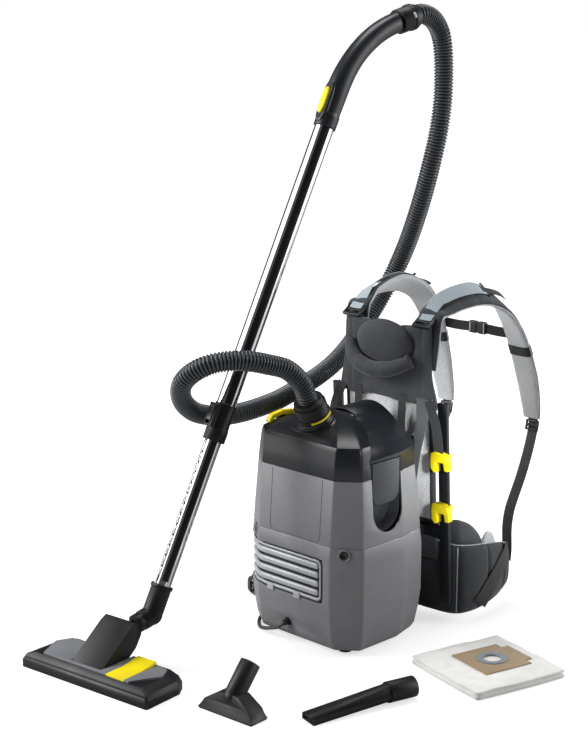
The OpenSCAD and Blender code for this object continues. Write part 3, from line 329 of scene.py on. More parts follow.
@dataclass(frozen=True)
class Cloth(Finish):
    """Woven or knitted cloth whose threads follow the piece's own UV map, which is in metres.

    Attributes:
        colour: sRGB hex of the threads.
        weave: how it is made.
        thread_mm: spacing of its threads; drawn a little coarser than the real 0.6 to 1 mm so that it shows.
        depth_mm: height of the threads.
        fleck: how far the threads' colour varies.
        sheen: strength of the soft rim light that fibres give.
    """

    colour: str
    weave: Weave = Weave.PLAIN
    thread_mm: float = 1.6
    depth_mm: float = 0.25
    fleck: float = 0.25
    sheen: float = 0.25

    def threads(self, tree: Tree, across: object, along: object) -> Socket:
        """Height of the threads: crossed sines for a plain weave, ribs for webbing, holes for mesh.

        Args:
            tree: the material's tree.
            across: socket of the UV's first value.
            along: socket of the UV's second value.

        Returns:
            Socket of the height.
        """
        pitch = self.thread_mm * MM
        turns = [
            add_node(tree, "Math", {0: axis, 1: math.pi / pitch}, operation="MULTIPLY").outputs[0]
            for axis in (across, along)
        ]
        waves = [add_node(tree, "Math", {0: turn}, operation="SINE").outputs[0] for turn in turns]
        if self.weave is Weave.RIBBED:
            return add_node(tree, "Math", {0: waves[1]}, operation="ABSOLUTE").outputs[0]
        product = add_node(tree, "Math", {0: waves[0], 1: waves[1]}, operation="MULTIPLY").outputs[0]
        if self.weave is Weave.SPACER:
            return add_node(tree, "Math", {0: product}, operation="ABSOLUTE").outputs[0]
        return mapped(tree, product, (-1.0, 1.0), (0.0, 1.0))

    def build(self) -> Material:
        """Makes the cloth: threads from the UV map, flecked yarn, creases and sheen.

        Returns:
            The material.
        """
        material, tree = new_material(self.name)
        coordinates = add_node(tree, "TexCoord")
        split = add_node(tree, "SeparateXYZ", {0: coordinates.outputs["UV"]})
        height = self.threads(tree, split.outputs[0], split.outputs[1])
        yarn = noise(tree, coordinates.outputs["Object"], 420.0)
        crease = noise(tree, coordinates.outputs["Object"], 19.0, 3.0)
        mixed = add_node(tree, "Math", {0: height, 1: yarn, 2: 0.1}, operation="MULTIPLY_ADD").outputs[0]
        folds = bumped(tree, crease, 0.006, 0.6)
        close_tree(
            tree,
            {
                "Base Color": shaded(tree, mixed, self.colour, (0.05, 0.7), (1 - self.fleck, 1 + self.fleck)),
                "Roughness": mapped(tree, yarn, (0.3, 0.7), (0.72, 0.92)),
                "Normal": bumped(tree, height, self.depth_mm * MM, 0.7, Normal=folds),
                "Sheen Weight": self.sheen,
                "Sheen Roughness": 0.45,
            },
        )
        return material


@dataclass(frozen=True)
class Fibrous(Finish):
    """Pressed fibre: fleece of a filter or its bag, or the board of the bag's plate.

    Attributes:
        colour: sRGB hex.
        dot_mm: spacing of the dots that bond the fleece; 0 for a fibre without them.
        fibre_mm: width of the fibres.
    """

    colour: str
    dot_mm: float
    fibre_mm: float = 0.7

    def build(self) -> Material:
        """Makes the fibre: fibre noise, a cloudy shade and, on bonded fleece, rows of dots.

        Returns:
            The material.
        """
        material, tree = new_material(self.name)
        place = add_node(tree, "TexCoord").outputs["Object"]
        height = fibre = noise(tree, place, 1 / (self.fibre_mm * MM), 4.0, distortion=1.2)
        cloud = noise(tree, place, 30.0, 4.0)
        if self.dot_mm:
            cells = {"Vector": place, "Scale": 1 / (self.dot_mm * MM), "Randomness": 0.15}
            dots = add_node(tree, "TexVoronoi", cells).outputs[0]
            height = add_node(tree, "Math", {0: dots, 1: fibre}, operation="ADD").outputs[0]
        close_tree(
            tree,
            {
                "Base Color": shaded(tree, cloud, self.colour, (0.3, 0.7), (0.92, 1.04)),
                "Roughness": 0.88,
                "Normal": bumped(tree, height, 0.0002, 0.6),
                "Sheen Weight": 0.2,
            },
        )
        return material


@dataclass(frozen=True)
class Corrugated(Finish):
    """Ribbed hose of black EVA: satin crests painted lighter as a highlight, dull valleys painted darker as
    their shade.

    Attributes:
        crest: sRGB hex of the crests, the black EVA painted lighter: painted highlight.
        valley: sRGB hex of the valleys, the black EVA darkened further: painted shade.
    """

    crest: str
    valley: str

    def build(self) -> Material:
        """Makes the hose skin from the piece's own rib height, kept in the attribute rib_height.

        Returns:
            The material.
        """
        material, tree = new_material(self.name)
        place = add_node(tree, "TexCoord").outputs["Object"]
        rib = add_node(tree, "Attribute", attribute_name="rib_height").outputs["Fac"]
        grain = noise(tree, place, 900.0)
        shade = add_node(tree, "ValToRGB", {"Fac": rib})
        for element, colour in zip(shade.color_ramp.elements, (self.valley, self.crest)):
            element.color = linear(colour)
        close_tree(
            tree,
            {
                "Base Color": shade.outputs[0],
                "Roughness": mapped(tree, rib, (0.0, 1.0), (0.6, 0.24)),
                "Normal": bumped(tree, grain, 0.00003, 0.5),
            },
        )
        return material


# Grey ABS of the casing, moulded with a fine grain: neutral, half matt.
GREY_ABS = Moulded("Grey moulded ABS", "grey_abs", "#7b7c7f", 0.4)
# The same ABS in the shade of a narrow groove.
GROOVE_SHADE_ABS = Moulded("Shaded grey ABS", "grey_abs", "#54555a", 0.5)
# Black ABS of lid, rear cover, rails and buckles: glossier and faintly blue.
BLACK_ABS = Moulded("Black moulded ABS", "black_abs", "#181b20", 0.3)
# Dark ABS of the pocket, its flap, the lock button and the chest buckle's tongue.
DARK_ABS = Moulded("Dark moulded ABS", "dark_abs", "#383b40", 0.4)
# Black polypropylene of tools, collar, cuff and lock sleeve: dull with a coarser grain.
BLACK_PP = Moulded("Black moulded polypropylene", "black_pp", "#0b0d11", 0.46, 1.0, 0.03, 1.42)
# The grip's black polypropylene, satin, painted lighter than the tools' for the light on its upper face.
GRIP_PP = Moulded("Satin black polypropylene painted lighter", "black_pp", "#202328", 0.36, 0.9, 0.01, 1.45)
# Light grey polypropylene of the window in the cuff.
LIGHT_PP = Moulded("Light grey polypropylene", "light_grey_abs", "#d5d8dc", 0.35)
# Silver-grey ABS of the exhaust grille.
SILVER_ABS = Moulded("Silver moulded ABS", "silver_abs", "#aeb0b4", 0.27, 0.7, 0.008)
# Mid grey ABS of the floor tool's panel.
PANEL_ABS = Moulded("Satin grey ABS", "light_grey_abs", "#7d7f84", 0.38)
# Yellow acetal of latch, pedal, slide, hooks and mark: dense colour, satin gloss.
YELLOW_POM = Moulded("Yellow moulded acetal", "yellow_pom", "#ffe714", 0.36, 0.8, 0.01, 1.48)
# Rubber of feet, seals, gland and plug: dull black.
RUBBER = Moulded("Moulded rubber", "rubber", "#17181a", 0.75, 1.4, 0.03, 1.52)
# Grey sealing ring of the bag's board.
SEAL_TPE = Moulded("Grey thermoplastic elastomer", "rubber", "#8a939a", 0.5)
# Chromed steel of the wand tubes: a clean mirror.
CHROME = Metal("Chromed steel tube", "steel_tube", "#e3e4e6", 0.05, 1.6, 0.0004)
# Zinc-plated screws and pins: greyish, half dull.
ZINC = Metal("Zinc-plated steel", "steel", "#a9abad", 0.34)
# Pressed aluminium of the fan.
ALUMINIUM = Metal("Pressed aluminium", "aluminium", "#c6c8ca", 0.3)
# Pack cloth over foam: charcoal polyester, plain weave.
PACK_CLOTH = Cloth("Charcoal woven polyester", "dark_fabric", "#34373b", Weave.PLAIN, 1.5, 0.22)
# Light spacer mesh of the back, the straps' lining and the belt's wings: a knit with rows of holes.
LIGHT_MESH = Cloth("Light grey spacer mesh", "mesh_white", "#dfe1e4", Weave.SPACER, 3.4, 1.1, 0.4)
# Dark spacer mesh of the belt's lining and cushions.
DARK_MESH = Cloth("Dark grey spacer mesh", "dark_fabric", "#4a4d51", Weave.SPACER, 2.6, 0.7, 0.4)
# Blue-grey webbing of the load straps.
GREY_WEBBING = Cloth("Blue-grey nylon webbing", "webbing", "#a3aeb5", Weave.RIBBED, 1.8, 0.2, 0.12)
# Black webbing of the other straps, the keepers, the belt's wings, the mesh's binding and the cord's tie.
BLACK_WEBBING = Cloth("Black nylon webbing", "webbing", "#232527", Weave.RIBBED, 1.8, 0.25)
# Charcoal webbing of the lower straps and the loose strap, faded by light.
FADED_WEBBING = Cloth("Faded charcoal webbing", "webbing", "#4d5053", Weave.RIBBED, 1.8, 0.25)
# Light piping along the seams.
PIPING = Cloth("Light grey piping", "mesh_white", "#c3c6ca", Weave.PLAIN, 1.2, 0.1, 0.1)
# Non-woven fleece of both bags and the motor filter.
FLEECE = Fibrous("White non-woven fleece", "filter_fleece", "#ecebe7", 3.0)
# Charcoal fleece of the exhaust filter.
DARK_FLEECE = Fibrous("Charcoal filter fleece", "filter_fleece", "#2a2b2d", 0.0)
# Grey-brown board of the bag's plate.
BOARD = Fibrous("Grey-brown board", "card", "#a08a6c", 0.0)
# Green polypropylene of the bag holder.
GREEN_PP = Moulded("Green moulded polypropylene", "green_pp", "#2f6a58", 0.42)
# Soft PVC of the mains cord.
CORD_PVC = Moulded("Soft dark grey PVC", "cord_pvc", "#3d3f42", 0.42, 0.6, 0.01)
# Skin of the suction hose: crests painted lighter as a highlight, valleys painted darker as shade.
HOSE_EVA = Corrugated("Ribbed black EVA", "hose_eva", "#4c5156", "#050506")
# Nylon bristle of the floor tool's brush.
BRISTLE = Moulded("Black nylon bristle", "bristle", "#141516", 0.5, 0.4, 0.02)


# ---- curves and surfaces


def unit(v: Points) -> Points:
    """Scales each vector to length 1."""
    v = np.asarray(v, float)
    return v / np.maximum(np.linalg.norm(v, axis=-1, keepdims=True), 1e-12)


def circle(count: int, shift: float = 0.0) -> Points:
    """Angles of points spread evenly round a circle, moved on by a share of their spacing."""
    return (np.arange(count) + shift) * 2 * math.pi / count


def squared(wave: Points, power: float) -> Points:
    """Raises a sine or cosine to a power and keeps its sign: powers below 1 make a circle squarer."""
    return np.sign(wave) * np.abs(wave) ** power


def soft_square(count: int, across: float, up: float) -> tuple[Points, Points]:
    """Points round a circle drawn out towards a square.

    Args:
        count: number of points.
        across: power of the first coordinate; less is squarer.
        up: power of the second coordinate.

    Returns:
        First and second coordinates, from -1 to 1.
    """
    angle = circle(count, 0.5)
    return squared(np.cos(angle), across), squared(np.sin(angle), up)


def fullness(shares: Points, reach: float, least: float) -> Points:
    """How full a soft piece is along its length: 1 in the middle, less within reach of either end.

    Args:
        shares: places along the piece, from 0 to 1.
        reach: how far the drawn-in part reaches from an end.
        least: smallest value before the root is taken.

    Returns:
        The fullness at each place.
    """
    return np.clip(np.minimum(shares, 1 - shares) / reach, least, 1) ** 0.5


def catmull(points: object, steps: int) -> Points:
    """Catmull-Rom curve through points, with each end point doubled.

    Args:
        points: rows of coordinates.
        steps: points drawn on each span.

    Returns:
        Points of the curve.
    """
    p = np.asarray(points, float)
    q = np.vstack([p[:1], p, p[-1:]])
    n = len(p) - 1
    a, b, c, d = (q[k : k + n][:, None, :] for k in range(4))
    t = (np.arange(steps) / steps)[None, :, None]
    s = 0.5 * (2 * b + (c - a) * t + (2 * a - 5 * b + 4 * c - d) * t**2 + (3 * b - a - 3 * c + d) * t**3)
    return np.vstack([s.reshape(-1, p.shape[1]), p[-1:]])


def run_length(path: Points) -> Points:
    """Running length at each point of a path."""
    return np.concatenate([[0.0], np.cumsum(np.linalg.norm(np.diff(path, axis=0), axis=1))])


def resample(path: Points, count: int, start: float = 0.0, end: float = 1.0) -> Points:
    """Spreads points evenly along a path.

    Args:
        path: the path.
        count: number of points.
        start: where to start, as a share of its length.
        end: where to end, as a share of its length.

    Returns:
        The evenly spread points.
    """
    runs = run_length(path)
    at = np.linspace(start, end, count) * runs[-1]
    return np.stack([np.interp(at, runs, path[:, k]) for k in range(path.shape[1])], axis=1)


def carried_sides(path: Points) -> tuple[Points, Points, Points]:
    """Carries a steady frame along a path: each side direction is the last one, squared to the new heading.

    Args:
        path: the path.

    Returns:
        Headings, first side directions and second side directions.
    """
    heading = unit(np.gradient(path, axis=0))
    up = np.array([0.0, 0.0, 1.0]) if abs(heading[0][2]) < 0.9 else np.array([1.0, 0.0, 0.0])
    side = np.empty_like(heading)
    side[0] = unit(np.cross(heading[0], up))
    for i in range(1, len(path)):
        side[i] = unit(side[i - 1] - (side[i - 1] @ heading[i]) * heading[i])
    return heading, side, np.cross(heading, side)


def surface(
    name: str,
    grid: Points,
    finish: Finish | list[Finish],
    ring: bool = False,
    face_finish: np.ndarray | None = None,
    smooth: bool = True,
) -> Piece:
    """Makes a mesh from a grid of points, with a UV map in metres.

    Args:
        name: the piece's name.
        grid: points as rings by points on a ring.
        finish: its finish, or several.
        ring: whether the last ring joins the first; otherwise both end rings are capped.
        face_finish: number of the finish for each face of the grid.
        smooth: whether faces shade smoothly.

    Returns:
        The new object.
    """
    m, n = grid.shape[:2]
    rows = m if ring else m - 1
    i, j = np.meshgrid(np.arange(rows), np.arange(n), indexing="ij")
    a, b = i * n + j, ((i + 1) % m) * n + j
    c, d = ((i + 1) % m) * n + (j + 1) % n, i * n + (j + 1) % n
    faces = np.stack([a, d, c, b], -1).reshape(-1, 4)
    along = np.concatenate([[0.0], np.cumsum(np.linalg.norm(np.diff(grid, axis=0), axis=2).mean(1)), [0.0]])
    if ring:
        along[m] = along[m - 1] + np.linalg.norm(grid[0] - grid[-1], axis=1).mean()
    steps = np.linalg.norm(np.roll(grid, -1, axis=1) - grid, axis=2).mean(0)
    round_it = np.concatenate([[0.0], np.cumsum(steps)])
    u = np.stack([round_it[j], round_it[j + 1], round_it[j + 1], round_it[j]], -1)
    v = np.stack([along[i], along[i], along[i + 1], along[i + 1]], -1)
    uv = np.stack([u, v], -1).reshape(-1, 2)
    polygons = faces.tolist()
    if not ring:
        polygons += [list(range(n)), list(range((m - 1) * n + n - 1, (m - 1) * n - 1, -1))]
        uv = np.vstack([uv, np.zeros((2 * n, 2))])
    mesh = bpy.data.meshes.new(name)
    mesh.from_pydata(grid.reshape(-1, 3).tolist(), [], polygons)
    layer = mesh.uv_layers.new(name="weave")
    layer.data.foreach_set("uv", uv.astype(np.float32).ravel())
    if face_finish is not None:
        index = np.zeros(len(polygons), np.int32)
        index[: rows * n] = np.asarray(face_finish).reshape(-1)
        mesh.polygons.foreach_set("material_index", index)
    if smooth:
        mesh.polygons.foreach_set("use_smooth", np.ones(len(polygons), bool))
    work = bmesh.new()
    work.from_mesh(mesh)
    bmesh.ops.recalc_face_normals(work, faces=work.faces)
    work.to_mesh(mesh)
    work.free()
    mesh.update()
    return dress(mesh, name, finish)


def dress(mesh: Mesh, name: str, finish: Finish | list[Finish]) -> Piece:
    """Gives a mesh its object and finishes.

    Args:
        mesh: the mesh.
        name: the piece's name.
        finish: one finish, or several in the order of the faces' numbers.

    Returns:
        The object.
    """
    piece = bpy.data.objects.new(name, mesh)
    bpy.context.scene.collection.objects.link(piece)
    finishes = finish if isinstance(finish, list) else [finish]
    if mesh.materials:
        mesh.materials.clear()
    for one in finishes:
        mesh.materials.append(one.material())
    return piece


def tube(path: Points, radius: object, sides: int) -> Points:
    """Rings of a round tube about a path.

    Args:
        path: the path.
        radius: one radius, or one for each point.
        sides: points on a ring.

    Returns:
        The grid of points.
    """
    _, u, v = carried_sides(path)
    a = circle(sides)
    r = np.broadcast_to(np.asarray(radius, float), (len(path),))[:, None, None]
    return path[:, None] + r * (np.cos(a)[None, :, None] * u[:, None] + np.sin(a)[None, :, None] * v[:, None])


def closed_tube(path: Points, radius: float, sides: int) -> Points:
    """Rings of a round tube about a closed path, which doesn't repeat its first point."""
    return tube(np.vstack([path[-2:], path, path[:2]]), radius, sides)[2:-2]


def rounded_ends(path: Points, radius: Points, share: float = 0.5) -> tuple[Points, Points]:
    """Adds dome-shaped ends to a tube: extra points whose radii follow a quarter circle.

    Args:
        path: the path.
        radius: radius at each point.
        share: how far each dome stands out, in radii.

    Returns:
        The longer path and its radii.
    """
    t = np.linspace(0, 1, 5, endpoint=False)
    heading = unit(np.gradient(path, axis=0))
    front = path[0] - heading[0] * (share * radius[0]) * np.cos(t * math.pi / 2)[:, None]
    back = path[-1] + heading[-1] * (share * radius[-1]) * np.cos(t * math.pi / 2)[::-1, None]
    fr, br = radius[0] * np.sin(t * math.pi / 2), radius[-1] * np.sin(t * math.pi / 2)[::-1]
    return np.vstack([front, path, back]), np.maximum(np.concatenate([fr, radius, br]), 1e-4)


def band(
    path: Points, wide: object, half_width: object, half_thick: object, sides: int, power: float
) -> Points:
    """Rings of a soft flat band: a superellipse carried along a path.

    Args:
        path: the path.
        wide: direction of the band's width, one or one for each point.
        half_width: half its width, one value or one for each point.
        half_thick: half its thickness, one value or one for each point.
        sides: points on a ring; the first half of a ring lies on the band's outer face.
        power: how square the section is; 1 is an ellipse.

    Returns:
        The grid of points.
    """
    heading = unit(np.gradient(path, axis=0))
    wide = np.broadcast_to(np.asarray(wide, float), path.shape)
    a = unit(wide - (heading * wide).sum(1, keepdims=True) * heading)
    b = np.cross(heading, a)
    x, y = soft_square(sides, power, power * 1.3)
    w = np.broadcast_to(np.asarray(half_width, float), (len(path),))[:, None, None]
    t = np.broadcast_to(np.asarray(half_thick, float), (len(path),))[:, None, None]
    return path[:, None] + x[None, :, None] * w * a[:, None] - y[None, :, None] * t * b[:, None]


def strap_grid(path: Points, wide: object, half_width: object, half_thick: float) -> Points:
    """Rings of flat webbing: a thin band with nearly square edges."""
    return band(path, wide, half_width, half_thick, 16, 0.3)


def filleted(corners: object, radius: float, closed: bool = False, steps: int = 6) -> Points:
    """Rounds the corners of a line with short curves.

    Args:
        corners: its corners, as rows of two coordinates.
        radius: distance from a corner at which its curve starts.
        closed: whether the last corner leads back to the first.
        steps: points on a curve.

    Returns:
        The line's points; a closed line doesn't repeat its first one.
    """
    c = np.asarray(corners, float)
    before, after = np.roll(c, 1, 0), np.roll(c, -1, 0)
    start, end = c + radius * unit(before - c), c + radius * unit(after - c)
    t = np.linspace(0, 1, steps)[None, :, None]
    arcs = (1 - t) ** 2 * start[:, None] + 2 * t * (1 - t) * c[:, None] + t**2 * end[:, None]
    if closed:
        return arcs.reshape(-1, 2)
    return np.vstack([c[:1], arcs[1:-1].reshape(-1, 2), c[-1:]])


def oval_plate(name: str, centre: Points, axes: tuple, size: tuple, heights: tuple, finish: Finish) -> Piece:
    """A long oval plate with a rounded rim, such as a slide or a window.

    Args:
        name: the piece's name.
        centre: a point on the plate's middle line.
        axes: its long, wide and outward directions.
        size: its length and width.
        heights: where it starts and ends, along the outward direction.
        finish: its finish.

    Returns:
        The plate.
    """
    long, wide, out = (np.asarray(axis, float) for axis in axes)
    x, y = soft_square(ROUND, 0.62, 0.85)
    t = np.linspace(0, math.pi / 2, 6)
    rim = 0.3 * (heights[1] - heights[0])
    inset = np.concatenate([[0.0], rim * (1 - np.cos(t)), [0.7 * size[1] / 2]])
    level = np.concatenate([[heights[0]], heights[1] - rim * (1 - np.sin(t)), [heights[1] + 0.0002]])
    grid = (
        np.asarray(centre, float)
        + (x[None] * (size[0] / 2 - inset[:, None]))[..., None] * long
        + (y[None] * (size[1] / 2 - inset[:, None]))[..., None] * wide
        + level[:, None, None] * out
    )
    return surface(name, grid, finish)


def turned_ring(
    name: str, centre: Points, axis: Points, profile: object, finish: Finish | list[Finish], dark: int = 0
) -> Piece:
    """A ring turned about an axis.

    Args:
        name: the piece's name.
        centre: middle of the ring.
        axis: the axis that it is turned about.
        profile: closed profile as rows of radius and height.
        finish: its finish, or two.
        dark: how many of the profile's first sides take the second finish.

    Returns:
        The ring.
    """
    axis = unit(np.asarray(axis, float))
    u = unit(np.cross(axis, [0.0, 0.0, 1.0] if abs(axis[2]) < 0.9 else [1.0, 0.0, 0.0]))
    a = circle(ROUND)[:, None]
    out = np.cos(a) * u + np.sin(a) * np.cross(axis, u)
    p = np.asarray(profile, float)
    grid = np.asarray(centre) + p[None, :, :1] * out[:, None] + p[None, :, 1:] * axis
    sides = np.broadcast_to((np.arange(len(p)) < dark).astype(np.int32), (ROUND, len(p)))
    return surface(name, grid, finish, ring=True, face_finish=sides if dark else None)


def refined(node: str, name: str, finish: Finish, body: str, edge_mm: float, angle: float = 32.0) -> Piece:
    """Takes a moulded part's own shape, joins its loose triangles and rounds its edges.

    Args:
        node: the part in the frame.
        name: the new piece's name.
        finish: its finish.
        body: the body that it rides on.
        edge_mm: radius of the edges; 0 leaves them sharp.
        angle: edges sharper than this many degrees are rounded.

    Returns:
        The piece, which stands for the node.
    """
    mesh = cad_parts[node].data.copy()
    work = bmesh.new()
    work.from_mesh(mesh)
    bmesh.ops.remove_doubles(work, verts=work.verts, dist=2e-6)
    bmesh.ops.dissolve_limit(work, angle_limit=math.radians(0.4), verts=work.verts, edges=work.edges)
    work.to_mesh(mesh)
    work.free()
    mesh.polygons.foreach_set("use_smooth", np.ones(len(mesh.polygons), bool))
    piece = dress(mesh, name, finish)
    if edge_mm:
        bevel = piece.modifiers.new("rounded edges", "BEVEL")
        bevel.width, bevel.segments = edge_mm * MM, 2
        bevel.limit_method, bevel.angle_limit = "ANGLE", math.radians(angle)
        bevel.harden_normals = True
    else:
        mesh.set_sharp_from_angle(angle=math.radians(angle))
    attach(piece, body)
    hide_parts(node)
    LOG.info("%s stands for %s", name, node)
    return piece


@lru_cache
def search_tree(node: str) -> BVHTree:
    """Makes a search tree of a part's faces."""
    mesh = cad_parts[node].data
    return BVHTree.FromPolygons([v.co for v in mesh.vertices], [tuple(p.vertices) for p in mesh.polygons])


def touch(node: str, start: Points, heading: Points) -> Points:
    """Returns where a line from outside meets a part, or its start when it misses."""
    place = search_tree(node).ray_cast(Vector(start), Vector(heading))[0]
    return np.array(place if place else start)


def puffed(piece: Piece, voxel: float, pressure: float, cap: float) -> None:
    """Swells a closed pad by cloth simulation and caps how far each point moves.

    Args:
        piece: the pad, starting a little small; it keeps its name and finish.
        voxel: size of the remesh, in metres.
        pressure: pressure inside the pad.
        cap: furthest a point may move, in metres.
    """
    remesh = piece.modifiers.new("even mesh", "REMESH")
    remesh.mode, remesh.voxel_size = "VOXEL", voxel
    bake_modifiers(piece)
    rest = np.empty(len(piece.data.vertices) * 3)
    piece.data.vertices.foreach_get("co", rest)
    cloth = piece.modifiers.new("swell", "CLOTH")
    settings = cloth.settings
    settings.use_pressure, settings.uniform_pressure_force = True, pressure
    settings.effector_weights.gravity = 0.0
    settings.mass = 0.3
    settings.tension_stiffness = settings.compression_stiffness = 12.0
    frames = 20
    cloth.point_cache.frame_start, cloth.point_cache.frame_end = 1, frames
    for step in range(1, frames + 1):
        bpy.context.scene.frame_set(step)
    bake_modifiers(piece)
    bpy.context.scene.frame_set(1)
    moved = np.empty_like(rest)
    piece.data.vertices.foreach_get("co", moved)
    shift = (moved - rest).reshape(-1, 3)
    length = np.linalg.norm(shift, axis=1, keepdims=True)
    shift *= np.minimum(1.0, cap / np.maximum(length, 1e-9))
    piece.data.vertices.foreach_set("co", (rest + shift.ravel()).astype(np.float32))
    piece.data.update()


def bake_modifiers(piece: Piece) -> None:
    """Applies a piece's modifiers to its mesh.

    Args:
        piece: its mesh object.
    """
    graph = bpy.context.evaluated_depsgraph_get()
    graph.update()
    baked = bpy.data.meshes.new_from_object(piece.evaluated_get(graph))
    piece.modifiers.clear()
    old = piece.data
    piece.data = baked
    bpy.data.meshes.remove(old)


def box_uv(piece: Piece) -> None:
    """Gives a piece a UV map in metres from the two axes that each face lies along most.

    Args:
        piece: its mesh object.
    """
    mesh = piece.data
    co = np.empty(len(mesh.vertices) * 3)
    mesh.vertices.foreach_get("co", co)
    co = co.reshape(-1, 3)
    corner = np.empty(len(mesh.loops), np.int32)
    mesh.loops.foreach_get("vertex_index", corner)
    normal = np.empty(len(mesh.polygons) * 3)
    mesh.polygons.foreach_get("normal", normal)
    total = np.empty(len(mesh.polygons), np.int32)
    mesh.polygons.foreach_get("loop_total", total)
    axis = np.repeat(np.abs(normal.reshape(-1, 3)).argmax(1), total)
    first = np.where(axis == 0, 1, 0)
    second = np.where(axis == 2, 1, 2)
    uv = np.stack([co[corner, first], co[corner, second]], -1)
    layer = mesh.uv_layers.get("weave") or mesh.uv_layers.new(name="weave")
    layer.data.foreach_set("uv", uv.astype(np.float32).ravel())


# ---- studio


@dataclass
class Studio:
    """Pale floor, white surroundings, soft lamps and the camera.

    Attributes:
        eye: place of the camera.
        right: the camera's right.
        gaze: the camera's line of sight.
        lens_mm: focal length on a 36 mm sensor.
        floor_half: half the floor's width.
        floor_z: height of the floor, a hair below the feet.
    """

    eye: tuple[float, float, float] = (2.318057, -2.463974, 1.3281)
    right: tuple[float, float, float] = (0.710579, 0.703617, 0.0)
    gaze: tuple[float, float, float] = (-0.685776, 0.692561, -0.223764)
    lens_mm: float = 81.12
    floor_half: float = 40.0
    floor_z: float = -0.0004

    def camera(self) -> None:
        """Places the camera."""
        data = bpy.data.cameras.new("camera")
        data.lens, data.sensor_width, data.sensor_fit = self.lens_mm, 36.0, "AUTO"
        data.clip_start, data.clip_end = 0.05, 200.0
        camera = bpy.data.objects.new("camera", data)
        gaze, right = Vector(self.gaze).normalized(), Vector(self.right).normalized()
        up = right.cross(gaze)
        turn = Matrix((right, up, -gaze)).transposed().to_4x4()
        camera.matrix_world = Matrix.Translation(self.eye) @ turn
        bpy.context.scene.collection.objects.link(camera)
        bpy.context.scene.camera = camera

    def lamp(
        self, name: str, place: tuple, aim: tuple, size: float, power: float, spread: float = 180.0
    ) -> None:
        """Adds a soft square lamp.

        Args:
            name: its name.
            place: where it stands.
            aim: the point it looks at.
            size: its width.
            power: its power in watts.
            spread: its beam's opening in degrees.
        """
        data = bpy.data.lights.new(name, "AREA")
        data.energy, data.size, data.shape, data.spread = power, size, "SQUARE", math.radians(spread)
        lamp = bpy.data.objects.new(name, data)
        lamp.location = place
        lamp.rotation_mode = "QUATERNION"
        lamp.rotation_quaternion = (Vector(aim) - Vector(place)).to_track_quat("-Z", "Y")
        bpy.context.scene.collection.objects.link(lamp)

    def white_rays(self, tree: Tree) -> Socket:
        """Returns 1 for rays that show the background: camera and transmission rays.

        Args:
            tree: the world's node tree.

        Returns:
            The socket that holds it.
        """
        path = add_node(tree, "LightPath")
        return add_node(
            tree,
            "Math",
            {0: path.outputs["Is Camera Ray"], 1: path.outputs["Is Transmission Ray"]},
            operation="MAXIMUM",
        ).outputs[0]

    def surroundings(self) -> None:
        """Lights the scene evenly and shows a white background."""
        world = bpy.data.worlds.new("white studio")
        bpy.context.scene.world = world
        world.use_nodes = True
        tree = world.node_tree
        tree.nodes.clear()
        strength = mapped(tree, self.white_rays(tree), (0.0, 1.0), (0.09, 1.0))
        sky = add_node(tree, "Background", {"Color": (1.0, 1.0, 1.0, 1.0), "Strength": strength})
        add_node(tree, "OutputWorld", {"Surface": sky.outputs[0]})

    def floor(self) -> None:
        """Lays the pale floor, which keeps the object's shadow."""
        h, z = self.floor_half, self.floor_z
        mesh = bpy.data.meshes.new("floor")
        mesh.from_pydata([(-h, -h, z), (h, -h, z), (h, h, z), (-h, h, z)], [], [(0, 1, 2, 3)])
        material, tree = new_material("White studio paper")
        paper = add_node(tree, "BsdfDiffuse", {"Color": (0.6, 0.6, 0.6, 1.0)})
        place = add_node(tree, "TexCoord").outputs["Object"]
        reach = add_node(tree, "VectorMath", {0: place}, operation="LENGTH").outputs["Value"]
        far = mapped(tree, reach, (0.5, 2.2), (0.66, 1.0))
        lift = add_node(tree, "Math", {0: self.white_rays(tree), 1: far}, operation="MULTIPLY")
        glow = add_node(tree, "Emission", {"Color": (1.0, 1.0, 1.0, 1.0), "Strength": lift.outputs[0]})
        both = add_node(tree, "AddShader", {0: paper.outputs[0], 1: glow.outputs[0]})
        add_node(tree, "OutputMaterial", {"Surface": both.outputs[0]})
        mesh.materials.append(material)
        floor = bpy.data.objects.new("floor", mesh)
        bpy.context.scene.collection.objects.link(floor)

    def build(self) -> None:
        """Makes the whole studio."""
        bpy.context.scene.view_settings.view_transform = "Standard"
        self.camera()
        self.surroundings()
        self.floor()
        self.lamp("left softbox", (-2.7, -2.9, 2.2), (0.0, -0.1, 0.5), 1.6, 112.0)
        self.lamp("left wall", (-2.05, -2.05, 1.5), (-0.05, -0.05, 0.7), 3.4, 62.0)
        self.lamp("right softbox", (2.8, 2.95, 1.7), (0.1, 0.0, 0.4), 1.5, 55.0)
        self.lamp("harness spot", (1.25, -0.33, 0.80), (0.10, 0.165, 0.37), 0.2, 0.42, 17.0)
        self.lamp("right wall", (1.9, 2.5, 1.4), (0.0, 0.1, 0.7), 3.0, 48.0)
        self.lamp("top softbox", (-0.4, 0.4, 3.4), (0.0, 0.0, 0.3), 1.6, 50.0)


# ---- casing


